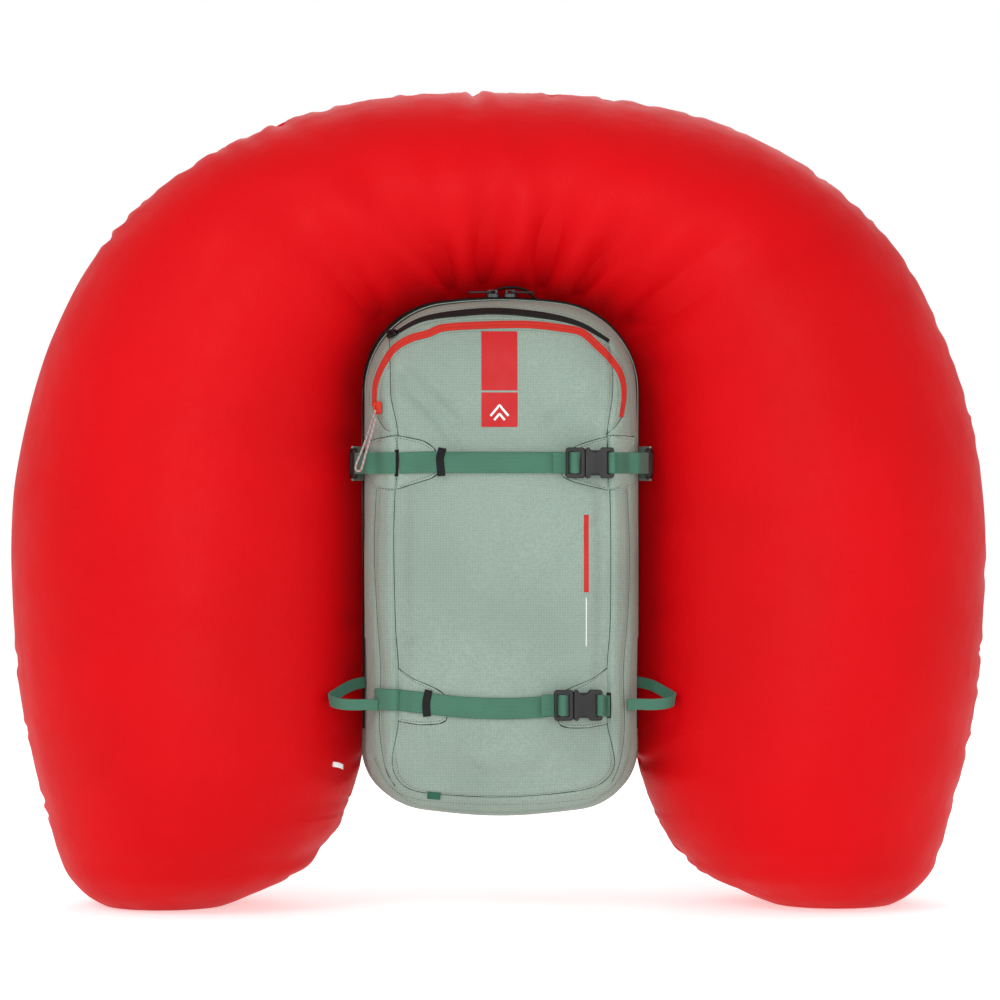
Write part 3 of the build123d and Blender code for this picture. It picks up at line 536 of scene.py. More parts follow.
def pack_shell():
    base = tree_of(*SHELL_NODES)
    surface["base"] = base

    def from_side(theta, y):
        d = Vector((math.cos(theta), 0, math.sin(theta)))
        return cast(base, Vector((MID[0], y, MID[1])) + d * 0.5, -d, Vector((0, 1.2 * MM, 0)))[0]

    first = np.linspace(0, 2 * math.pi, 1441)[:-1]
    rim = np.array([from_side(t, -0.06) for t in first])
    steps = np.linalg.norm(np.roll(rim, -1, 0) - rim, axis=1)
    run = np.concatenate([[0], np.cumsum(steps)])
    count = 640
    want = np.linspace(0, run[-1], count, endpoint=False)
    thetas = np.interp(want, run, np.concatenate([first, [2 * math.pi]]))
    rows, uv = [], []
    ys = np.concatenate([[-0.0008, -0.0025], np.linspace(-0.005, FRONT_Y, 48)])
    for y in ys:
        rows.append(np.array([from_side(t, y) for t in thetas]))
        uv.append(np.stack([want, np.full(count, y)], -1))
    edge = rows[-1][:, [0, 2]]
    reach = np.linalg.norm(edge - MID, axis=1).mean()
    shares = 1 - (np.arange(1, int(reach / (1.9 * MM))) * 1.9 * MM) / reach
    for s in shares[shares > 0.012]:
        ring = []
        for x, z in MID + (edge - MID) * s:
            hit = cast(base, Vector((x, -0.3, z)), Vector((0, 1, 0)), Vector((GAP_RAY, 0, GAP_RAY)))[0]
            ring.append(hit if hit is not None else Vector((x, FRONT_Y, z)))
        ring = np.array(ring)
        rows.append(ring)
        uv.append(ring[:, [0, 2]])
    grid = np.stack(rows)
    n, m, _ = grid.shape
    cap = grid[len(ys) - 1:, :, 1]
    for _ in range(16):
        cap[1:-1] = (cap[:-2] + 2 * cap[1:-1] + cap[2:]) / 4
        cap[1:] = (np.roll(cap[1:], 1, 1) + 2 * cap[1:] + np.roll(cap[1:], -1, 1)) / 4
    along = np.roll(grid, -1, 1) - np.roll(grid, 1, 1)
    down = np.gradient(grid, axis=0)
    normal = np.cross(along, down)
    normal /= np.linalg.norm(normal, axis=2)[:, :, None] + 1e-12
    middle = np.array([0, -0.06, 0.34])
    if ((grid - middle) * normal).sum() < 0:
        normal = -normal
    p = grid.reshape(-1, 3)
    nm = normal.reshape(-1, 3)
    x, y, z = p.T
    front = np.clip((-0.088 - y) / 0.02, 0, 1)
    bulge = np.zeros(len(p))
    for line, depth in ((SEAM_IN_L, 1.25), (SEAM_OUT_L, 0.9), (SEAM_OUT_R, 0.9), (SEAM_CURVE_L, 0.8), (SEAM_CURVE_R,
            0.8), (BOOT, 0.7)):
        d = line_distance(x, z, line)
        channel, bank = np.exp(-(d / 0.0022) ** 2), np.exp(-((d - 0.0055) / 0.0035) ** 2)
        bulge += front * MM * (-depth * channel + 0.45 * depth * bank)
    seam_in = line_distance(x, z, SEAM_IN_L)
    pucker = field(p, (150, 150, 150), 3.1)
    bulge += front * 0.55 * MM * pucker * np.exp(-(seam_in / 0.010) ** 2)
    bulge += 2.2 * MM * field(p, (9, 9, 9), 7.7) * np.clip(-y / 0.05, 0.25, 1)
    gusset = np.clip((np.abs(x) - 0.1) / 0.012, 0, 1)
    bulge += 0.9 * MM * gusset * field(p, (40, 40, 7), 1.3)
    low = np.clip((0.205 - z) / 0.03, 0, 1) * (1 - gusset)
    bulge += 0.8 * MM * low * field(p, (10, 10, 34), 5.2)
    # Tension folds that run from each patch's nose across the panel.
    for cx, cz, dx, dz, size in ((-0.060, 0.430, 0.5, 0.5, 0.8), (-0.085, 0.505, 0.72, -0.55, 1.3), (0.085, 0.505,
            -0.72, -0.55, 0.9), (-0.055, 0.215, 0.8, 0.45, 0.9), (0.055, 0.215, -0.8, 0.45, 0.9), (-0.07, 0.165, 0.8,
            -0.4, 0.9), (0.07, 0.165, -0.8, -0.4, 0.8)):
        u = (x - cx) * dx + (z - cz) * dz
        v = -(x - cx) * dz + (z - cz) * dx
        fold = np.sin(v / 0.0065) * np.exp(-(v / 0.012) ** 2) * np.exp(-((u - 0.022) / 0.022) ** 2)
        bulge += front * 1.7 * size * MM * fold
    ribs = np.clip((0.1075 - z) / 0.004, 0, 1) * front
    bulge += ribs * 0.16 * MM * np.sin(x / 0.00055)
    for x0, z0, x1, z1, size, half_width in ((-0.093, 0.515, -0.047, 0.470, 2.4, 0.010), (-0.09, 0.50, -0.035, 0.435,
            1.4, 0.007), (0.090, 0.49, 0.045, 0.47, 1.3, 0.008), (0.092, 0.375, 0.055, 0.34, 1.0, 0.008), (-0.095,
            0.262, -0.05, 0.285, 1.1, 0.008), (-0.07, 0.175, -0.02, 0.135, 1.2, 0.009), (0.07, 0.172, 0.03, 0.14, 1.2,
            0.009)):
        d = line_distance(x, z, [(x0, z0), ((x0 + x1) / 2, (z0 + z1) / 2 + 0.003), (x1, z1)])
        bulge -= front * 2.0 * size * MM * np.exp(-(d / (0.75 * half_width)) ** 2)
    # The soft crest between the top zip and the airbag's compartment.
    crest, valley = np.exp(-((y + 0.055) / 0.012) ** 2), np.exp(-((y + 0.075) / 0.0035) ** 2) * (z > 0.25)
    bulge += 0.5 * MM * crest - 1.3 * MM * valley
    bulge[: m] = 0
    p = p + nm * bulge[:, None]
    verts = np.vstack([p, p[-m:].mean(0)[None]])
    faces = [tuple(f) for f in grid_faces(n, m, wrap=True)]
    last = (n - 1) * m
    faces += [(last + k, last + (k + 1) % m, n * m) for k in range(m)]
    uvs = np.vstack([np.vstack(uv), verts[-1][[0, 2]][None]])
    obj = mesh_object("pack_shell", verts, faces, "shell", uvs)
    bpy.context.view_layer.update()
    me = obj.data
    if sum((f.normal.dot(f.center - Vector(middle)) > 0) - 0.5 for f in me.polygons) < 0:
        me.flip_normals()
    surface["skin"] = skin_tree(me)
    put(obj, replaces=SHELL_NODES)


def on(x, z, lift=0.0, kind="skin"):
    """A point of the front view carried onto the pack, lifted off it, and the surface's normal there."""
    hit, normal, *_ = cast(surface[kind], Vector((x, -0.3, z)), Vector((0, 1, 0)), Vector((GAP_RAY, 0, GAP_RAY)))
    if hit is None:
        hit, normal, *_ = surface[kind].find_nearest(Vector((x, -0.1, z)))
    if normal.y > 0:
        normal = -normal
    return np.array(hit) + np.array(normal) * lift, np.array(normal)


def left_of(line):
    """The unit vector to the left of a line in the front view, at each of its points."""
    t = tangents(line)
    return np.stack([-t[:, 1], t[:, 0]], -1)


def front_tape(name, points, width, thick, lift, mat, groove=0.0, kind="base", step=2 * MM, taper=0.0):
    """A tape that follows the pack's surface across its whole width, narrowing to half over a taper at its ends."""
    line = curve_points(points, step)
    side = left_of(line)
    ws = np.array([-0.5, -0.47, -0.4, -0.2, -0.05, 0.0, 0.05, 0.2, 0.4, 0.47, 0.5])
    top = np.array([0.55, 0.9, 1, 1, 1, 1 - groove, 1, 1, 1, 0.9, 0.55])
    verts, uv = [], []
    run = running(line)
    full = width
    for i, (x, z) in enumerate(line):
        if taper:
            width = full * (0.5 + 0.5 * min(1, run[i] / taper, (run[-1] - run[i]) / taper))
        here = [on(x + side[i, 0] * w * width, z + side[i, 1] * w * width, 0, kind) for w in ws]
        nrm = np.mean([q[1] for q in here], 0)
        nrm /= np.linalg.norm(nrm)
        verts += [q[0] + nrm * (lift + thick * h) for q, h in zip(here, top)]
        verts += [q[0] + nrm * lift for q in here[::-1]]
        uv += [(run[i], w * width) for w in ws] + [(run[i], w * width) for w in ws[::-1]]
    return mesh_object(name, verts, capped_faces(len(line), 2 * len(ws)), mat, uv)


def seam(name, points, radius=0.42 * MM, lift=-0.10 * MM):
    line = curve_points(points, 2 * MM)
    pts = np.array([on(x, z, lift)[0] for x, z in line])
    for _ in range(2):
        pts[1:-1] = (pts[:-2] + 2 * pts[1:-1] + pts[2:]) / 4
    return tube(name, pts, radius, "thread", sides=6)


def stitches(name, lines, pitch=2.7 * MM, length=1.6 * MM, width=0.75 * MM, lift=0.15 * MM, mat="stitch"):
    """Rows of short raised stitches along lines of the front view."""
    verts, faces = [], []
    for line in lines:
        pts = curve_points(line, pitch)
        for a, b in zip(pts, pts[1:]):
            mid = (a + b) / 2
            p, n = on(mid[0], mid[1], lift)
            q, _ = on(b[0], b[1], lift)
            t = q - p
            if np.linalg.norm(t) > 3 * pitch or np.linalg.norm(t) < 1e-6:
                continue
            t /= np.linalg.norm(t)
            s = np.cross(n, t)
            k = len(verts)
            for du, dv, dn in ((-0.5, 0, 0), (-0.3, -0.5, 0), (-0.3, 0.5, 0), (-0.2, 0, 1), (0.2, 0, 1), (0.3, -0.5,
                    0), (0.3, 0.5, 0), (0.5, 0, 0)):
                verts.append(p + t * du * length + s * dv * width + n * (dn * 0.28 * MM - 0.1 * MM * (dn == 0)))
            faces += [(k, k + 1, k + 3), (k, k + 3, k + 2), (k + 1, k + 5, k + 4, k + 3), (k + 2, k + 3, k + 4,
                k + 6), (k + 5, k + 7, k + 4), (k + 4, k + 7, k + 6), (k, k + 2, k + 6, k + 7), (k, k + 7, k + 5,
                k + 1)]
    return mesh_object(name, verts, faces, mat)


def polygon_points(corners, step=1.5 * MM):
    out = []
    for a, b in zip(corners, corners[1:] + corners[:1]):
        a, b = np.array(a, float), np.array(b, float)
        n = max(1, int(np.linalg.norm(b - a) / step))
        out += [a + (b - a) * k / n for k in range(n)]
    return np.array(out)


def front_patch(name, boundary, lift, mat):
    """A flat piece laid on the pack inside a ring of front-view points, with a turned-down edge."""
    ring = np.array(boundary, float)
    middle = ring.mean(0)
    m = len(ring)
    verts, uv = [], []
    shares = [1.0, 1.0, 0.985] + list(np.linspace(0.95, 0.05, 18))
    for k, s in enumerate(shares):
        up = -0.25 * MM if k == 0 else lift * 0.75 if k == 1 else lift
        for x, z in middle + (ring - middle) * s:
            verts.append(on(x, z, up)[0])
            uv.append((x, z))
    n = len(shares)
    verts.append(on(middle[0], middle[1], lift)[0])
    uv.append(tuple(middle))
    faces = [tuple(f) for f in grid_faces(n, m, wrap=True)]
    faces += [((n - 1) * m + k, (n - 1) * m + (k + 1) % m, n * m) for k in range(m)]
    obj = mesh_object(name, verts, faces, mat, uv)
    if sum(f.normal.y for f in obj.data.polygons) > 0:
        obj.data.flip_normals()
    return obj


# ---------------------------------------------------------------- front details
UP_Z, LOW_Z = 0.430, 0.2005
ZIP_A = [(-0.1215, 0.484), (-0.1190, 0.509), (-0.1055, 0.535), (-0.089, 0.547), (-0.070, 0.5525), (-0.055, 0.558),
    (-0.0155, 0.5605), (0.0245, 0.561), (0.054, 0.558), (0.0745, 0.554), (0.089, 0.542), (0.104, 0.5265), (0.1125,
    0.5125), (0.1150, 0.4955), (0.1120, 0.4735)]
ZIP_B = [(-0.104, 0.552), (-0.0755, 0.5665), (-0.036, 0.5725), (0.0, 0.574), (0.045, 0.569), (0.075, 0.561), (0.101,
    0.546)]


def join(name, objs):
    """One object from several, keeping their materials."""
    for o in bpy.context.selected_objects:
        o.select_set(False)
    with bpy.context.temp_override(active_object=objs[0], selected_editable_objects=objs, selected_objects=objs,
            object=objs[0]):
        bpy.ops.object.join()
    objs[0].name = name
    return objs[0]


def front_zips():
    red = front_tape("zip_front", ZIP_A, 7.2 * MM, 1.0 * MM, 0.1 * MM, "zip_red", groove=0.75, kind="skin",
        taper=0.07)
    put(red, replaces=["front_zip_tape"])
    tool = front_tape("zip_tool", ZIP_B, 6.4 * MM, 1.0 * MM, 0.1 * MM, "zip_black", groove=0.7, kind="skin",
        taper=0.07)
    put(tool, replaces=["black_zip_tapes"])
    lines = []
    for side in (-1, 1):
        for points, gap in ((ZIP_A, 5.4 * MM), (ZIP_B, 5.0 * MM)):
            line = curve_points(points, 3 * MM)
            lines.append(line + left_of(line) * side * gap)
    put(stitches("zip_stitching", lines, lift=0.0))


def ring(tree, y, lift, low, spread):
    """A line round the pack at one depth, above a height, and its outward vectors."""
    pts, outs = [], []
    for theta in np.linspace(-spread, math.pi + spread, 420):
        d = Vector((math.cos(theta), 0, math.sin(theta)))
        hit, normal, *_ = tree.ray_cast(Vector((MID[0], y, MID[1])) + d * 0.5, -d)
        if hit is not None and hit.z > low:
            n = np.array((normal.x, 0, normal.z))
            n /= np.linalg.norm(n)
            n *= 1 if n @ np.array(d) > 0 else -1
            pts.append(np.array(hit) + n * lift)
            outs.append(n)
    return np.array(pts), np.array(outs)


def side_zips():
    """The main zip with its flaps, the side binding and the burst zip: rings round the pack, not front-view lines."""
    base, comp = surface["base"], tree_of("airbag_compartment")
    for name, tree, y, lift, low, spread, width, thick, mat, slot_shadow, groove in (("zip_main", base, -0.075, 0.15, 0.262,
            0.9, 6.4, 1.5, "zip_black", "zip_black", 0.5), ("zip_garage_front", base, -0.0805, 0.1, 0.262, 0.9, 3.0,
            0.9, "shell_flat", "shell_fabric", 0.0), ("zip_garage_rear", base, -0.0695, 0.1, 0.262, 0.9, 3.0, 0.9,
            "shell_flat", "shell_fabric", 0.0), ("side_binding", base, -0.036, 0.1, 0.135, 0.9, 5.0, 1.7, "binding",
            "zip_black", 0.0), ("zip_burst_rear", comp, 0.0180, 0.1, 0.205, 0.75, 4.0, 1.2, "zip_black", "zip_black",
            0.5), ("zip_burst_front", comp, 0.0100, 0.1, 0.205, 0.75, 4.0, 1.2, "zip_black", "zip_black", 0.5)):
        pts, outs = ring(tree, y, lift * MM, low, spread)
        put(ribbon(name, pts, (0, 1, 0), outs, width * MM, thick * MM, mat, groove))


def seams():
    parts = [seam("seam_panel", SEAM_IN_L), seam("seam_left", SEAM_OUT_L, 0.36 * MM), seam("seam_right", SEAM_OUT_R,
        0.36 * MM), seam("seam_curve_left", SEAM_CURVE_L), seam("seam_curve_right", SEAM_CURVE_R)]
    put(join("seam_cords", parts))
    lines = [[(x * 0.965, z + 0.0015) for x, z in SEAM_IN_L[9:18]], BOOT]
    put(stitches("panel_stitching", lines, lift=0.0))


PATCHES = {"patch_upper_left_in": [(-0.0995, 0.4555), (-0.088, 0.4535), (-0.075, 0.4505), (-0.0655, 0.444), (-0.0620,
    0.436), (-0.0620, 0.420), (-0.068, 0.4155), (-0.082, 0.411), (-0.0995, 0.4055)],
    "patch_upper_left_out": [(-0.1260, 0.4505), (-0.118, 0.453), (-0.1005, 0.4555), (-0.1005, 0.4055), (-0.119,
    0.4065), (-0.1260, 0.416)], "patch_upper_right_in": [(0.0985, 0.4545), (0.086, 0.4515), (0.070, 0.4460), (0.0575,
    0.4375), (0.0540, 0.430), (0.0560, 0.418), (0.066, 0.4125), (0.083, 0.408), (0.0985, 0.4045)],
    "patch_upper_right_out": [(0.1250, 0.4550), (0.112, 0.4555), (0.0995, 0.4555), (0.0995, 0.4045), (0.115, 0.4085),
    (0.1250, 0.4115)], "patch_lower_left": [(-0.0985, 0.2360), (-0.085, 0.2265), (-0.066, 0.2185), (-0.0555, 0.2115),
    (-0.0530, 0.200), (-0.0535, 0.188), (-0.060, 0.1845), (-0.078, 0.1835), (-0.0985, 0.1865)],
    "patch_lower_right": [(0.0985, 0.2360), (0.085, 0.2265), (0.066, 0.2185), (0.0550, 0.2125), (0.0520, 0.200),
    (0.0530, 0.184), (0.062, 0.1805), (0.080, 0.1805), (0.0985, 0.1835)], }


def patches():
    rims, rows, made = [], [], []
    for name, corners in PATCHES.items():
        made.append(front_patch(name, polygon_points(corners), 0.9 * MM, "patch"))
        mid = np.mean(corners, 0)
        nose = corners if "out" not in name else corners[:3]
        rims.append(seam(name + "_rim", nose, 0.55 * MM, 0.30 * MM))
        inset = [tuple(c + unit(mid - c) * 2.6 * MM) for c in np.array(corners)]
        rows.append(inset)
    for piece in made:
        put(piece)
    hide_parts("anchor_patches")
    put(join("patch_edges", rims))
    put(stitches("patch_stitching", rows, lift=0.95 * MM))


def labels():
    for name, low, high, right in (("label_band", 0.4985, 0.5545, 0.0137), ("label_square", 0.4640, 0.4965, 0.0139)):
        corners = [(-0.0203, high), (right, high), (right, low), (-0.0203, low)]
        put(front_patch(name, polygon_points(corners), 0.35 * MM, "print_red"))
    marks = []
    for k, (w, z0, h) in enumerate(((0.0085, 0.4745, 0.0100), (0.0050, 0.4705, 0.0060))):
        mid = -0.0032
        pts = [(mid - w, z0), (mid - w / 2, z0 + h / 2), (mid, z0 + h), (mid + w / 2, z0 + h / 2), (mid + w, z0)]
        line = [(a[0] + (b[0] - a[0]) * t, a[1] + (b[1] - a[1]) * t) for a, b in zip(pts, pts[1:]) for t in (0, 0.5)]
        marks.append(front_tape(f"label_mark_{k}", line + [pts[-1]], 2.1 * MM, 0.15 * MM, 0.42 * MM, "print_white",
            kind="skin", step=1 * MM))
    put(join("label_mark", marks))
    for tag, heights, width, mat, slot_shadow in (("red", (0.381, 0.345, 0.308), 4.6, "print_red", "zip_red"), ("white",
            (0.303, 0.28, 0.257), 0.9, "print_white", "cord_grey")):
        put(front_tape(f"print_bar_{tag}", [(0.0785, z) for z in heights], width * MM, 0.12 * MM, 0.05 * MM, mat,
            kind="skin"))


def buckle_frame(female, joint):
    """The buckle's own axes: origin at its mouth, x along the strap away from the male half, outside to -y."""
    axis = next(np.array(j["axis"], float) for j in frame["joints"] if j["name"] == joint)
    lo, hi = (np.array(v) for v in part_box(female))
    x = -axis / np.linalg.norm(axis)
    out = np.cross((0, 0, 1.0), x)
    out *= -1 if out[1] > 0 else 1
    return (lo + hi) / 2 - x * MOUTH, x, out


def remade(node, mat, voxel=0.45 * MM, body="pack", rounds=4, name=None, kept=1.0):
    """A CAD piece with its edges softened by a voxel remesh and smoothing; kept is the share of faces kept."""
    obj = voxel_copy(node, name or node + "_moulded", voxel)
    smoothed(obj, rounds)
    if kept < 1:
        obj.modifiers.new("fewer", "DECIMATE").ratio = kept
    settle(obj, mat)
    return put(obj, body, [node])


def thread_web(name, where, points, body, extra=()):
    """Webbing threaded through a buckle: points are (along, out) in the buckle's axes, then points in space."""
    o, x, out = where
    path = [o + x * a * MM + out * b * MM for a, b in points] + [np.array(p) for p in extra]
    c = curve_points(path, 1.2 * MM)
    nrm = unit(np.cross(tangents(c), UP))
    return put(ribbon(name, c - nrm * STRAP_THICK / 2, UP, nrm, STRAP, STRAP_THICK, "web"), body)


def front_straps():
    upper = [(-0.0985, UP_Z), (-0.06, UP_Z), (0.0, UP_Z + 0.0003), (0.03, UP_Z), (0.0555, UP_Z)]
    put(front_tape("strap_upper_web", upper, STRAP, STRAP_THICK, STRAP_LIFT, "web"),
        replaces=["strap_upper"])
    lower = [(-0.1185, 0.2070), (-0.100, 0.2065), (-0.075, 0.2040), (-0.04, 0.2000), (0.0, 0.1985), (0.03, 0.1995),
        (0.046, 0.2010)]
    put(front_tape("strap_lower_web", lower, STRAP, STRAP_THICK, STRAP_LIFT, "web"),
        replaces=["strap_lower"])
    for name, x, z in (("keeper_upper", -0.0575, UP_Z), ("keeper_lower", -0.0710, 0.2037)):
        band = front_tape(name, [(x - 0.0006, z - 0.0125), (x - 0.0014, z), (x + 0.0010, z + 0.0125)], 7.5 * MM,
            1.1 * MM, 3.4 * MM, "elastic")
        put(band)
        if name == "keeper_upper":
            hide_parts("webbing_keepers")
    # Painted shadow: thin black strips in the keepers' elastic material stand in for the shade inside the slots where
    # the webbing passes into the pack.
    slot_shadows = []
    for k, (x, z, h) in enumerate(((-0.1005, UP_Z, 0.0125), (0.0985, UP_Z, 0.0125), (0.1005, 0.2010, 0.0120))):
        slot_shadows.append(front_tape(f"slot_{k}", [(x, z - h), (x + 0.0004, z), (x, z + h)], 3.6 * MM, 1.5 * MM, 0.5 * MM,
            "elastic", kind="skin"))
    put(join("strap_slot_shadows", slot_shadows))
    for side, tag in ((-1, "left"), (1, "right")):
        start = [on(side * x, UP_Z, 2.6 * MM, "base")[0] for x in (0.1015, 0.110, 0.118)]
        path = start + [np.array((side * x, y, UP_Z)) for x, y in ((0.1285, -0.1205), (0.1358, -0.108), (0.1395,
            -0.0925), (0.1405, -0.0845))]
        web = side_ribbon(f"side_strap_{tag}", path, STRAP, STRAP_THICK, "web")
        put(web)
        if side < 0:
            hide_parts("strap_ends")
        tab = [(side * x, y, UP_Z) for x, y in ((0.13, -0.052), (0.1345, -0.062), (0.1395, -0.072), (0.143, -0.081))]
        put(side_ribbon(f"side_tab_{tag}", tab, 33 * MM, 2.0 * MM, "patch"))
    for name, z, end in (("upper", UP_Z, 0.0985), ("lower", LOW_Z, 0.0995)):
        where = buckle_frame(f"buckle_{name}_female", f"{name}_buckle_release")
        body = f"{name}_buckle_male"
        remade(f"buckle_{name}_male", "plastic", body=body)
        remade(f"buckle_{name}_female", "plastic")
        loop = thread_web(f"buckle_{name}_web", where, [(-30, -4.0), (-22, -3.9), (-17.5, -3.4), (-14.4, -0.4),
            (-12.4, 3.0), (-10.0, 4.2), (-7.6, 3.0), (-6.2, 0.0), (-7.6, -3.3), (-12, -4.0)], body)
        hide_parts(f"buckle_{name}_loop")
        tail = [on(end - 0.0015, z, 2.6 * MM, "base")[0], on(end + 0.0015, z, 1.0 * MM, "base")[0]]
        thread_web(f"strap_{name}_end", where, [(20.0, -3.4), (22.2, -1.5), (22.8, 2.6), (24.6, 5.2), (27.2, 4.6)],
            "pack", tail)
    remade("side_buckles", "plastic")


SKI_LOOP = [(0.130, -0.062), (0.144, -0.0735), (0.158, -0.0905), (0.164, -0.108), (0.156, -0.120), (0.142, -0.1245),
    (0.127, -0.1235), (0.118, -0.1262)]


def loops_and_trim():
    for side, tag in ((-1, "left"), (1, "right")):
        path = [(side * x, y, 0.220 + (y + 0.05) * 0.25 + (0.003 if y > -0.08 else 0)) for x, y in SKI_LOOP]
        web = side_ribbon(f"ski_loop_{tag}", path, 10.5 * MM, 1.6 * MM, "web", lean=(side * 0.18, 0, 1))
        put(web)
        if side < 0:
            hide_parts("side_loops")
    tab = front_tape("bottom_tab_ribbon", [(-0.071, 0.1165), (-0.065, 0.1160), (-0.059, 0.1155)], 6.5 * MM, 1.6 * MM,
        0.3 * MM, "tab", kind="skin")
    put(tab, replaces=["bottom_tab"])
    lo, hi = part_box("haul_loop")
    y = (lo.y + hi.y) / 2
    path = [(-0.0170, y, lo.z - 0.001), (-0.0110, y, lo.z + 0.003), (-0.0030, y, hi.z - 0.0028), (0.010, y,
        hi.z - 0.0006), (0.0230, y, hi.z - 0.0028), (0.0310, y, lo.z + 0.003), (0.0370, y, lo.z - 0.001)]
    c = curve_points(path, 1.5 * MM)
    put(ribbon("haul_loop_web", c, (0, 1, 0), np.cross(tangents(c), (0, 1.0, 0)), 18 * MM, 1.6 * MM, "web_black"),
        replaces=["haul_loop"])


def sliders():
    for node, body in (("front_zip_slider", "front_slider"), ("tool_zip_slider", "tool_slider"),
            ("main_zip_slider_left", "main_slider_left"), ("main_zip_slider_right", "main_slider_right")):
        mat = "handle" if node == "front_zip_slider" else "dark_metal"
        remade(node, mat, 0.25 * MM, body, 3)
    for side in ("left", "right"):
        remade(f"main_zip_pull_{side}", "rubber", 0.25 * MM, f"main_slider_{side}", 3)


CORD = [(-120.51, -131.48, 479.84), (-122.47, -132.48, 471.84), (-126.41, -133.28, 459.84), (-132.45, -130.38,
    442.84), (-137.79, -127.88, 430.84), (-139.39, -127.78, 425.84), (-138.32, -128.48, 422.24), (-134.52, -129.28,
    422.24), (-132.73, -130.28, 426.34), (-131.21, -130.98, 432.34), (-128.15, -132.58, 442.84), (-123.11, -135.58,
    459.84), (-120.27, -134.78, 471.84)]


def pull_cord():
    data = bpy.data.curves.new("pull_cord_line", "CURVE")
    data.dimensions = "3D"
    data.resolution_u = 8
    line = data.splines.new("NURBS")
    line.points.add(len(CORD) - 1)
    for point, (x, y, z) in zip(line.points, CORD):
        point.co = (x * MM, y * MM, z * MM, 1)
    line.order_u = 3
    line.use_endpoint_u = True
    guide = bpy.data.objects.new("pull_cord_line", data)
    scene.collection.objects.link(guide)
    pts = np.array([v.co for v in evaluated(guide).vertices])
    bpy.data.objects.remove(guide)
    cord = tube("pull_cord", pts, 1.1 * MM, "cord", sides=10)
    put(cord, "front_slider", ["front_zip_cord"])


# ---------------------------------------------------------------- airbag
STATIONS = [(360, -9, 300, -9, 30), (385, 0, 268, 0, 60), (404, 11, 240, 11, 86), (422, 30, 200, 30, 112), (431, 50,
    178, 50, 127), (437, 70, 163, 70, 138), (447, 109, 144, 109, 151), (456, 148, 136, 148, 160), (469, 226, 134, 226,
    168), (476, 344, 134, 340, 171), (466, 450, 134, 428, 169), (434, 556, 135, 486, 163), (374, 658, 129, 532, 156),
    (277, 736, 108, 568, 148), (150, 781, 58, 589, 141), (0, 793, 0, 596, 137)]


def pleats(count, low, high, width, depth, reach):
    """Random creases: place along the edge, width, depth (given in mm), reach and slant."""
    at = np.sort(rng.uniform(low, high, count))
    return np.stack([at, rng.uniform(*width, count), rng.uniform(*depth, count) * MM, rng.uniform(*reach, count),
        rng.uniform(-0.25, 0.25, count)], -1)


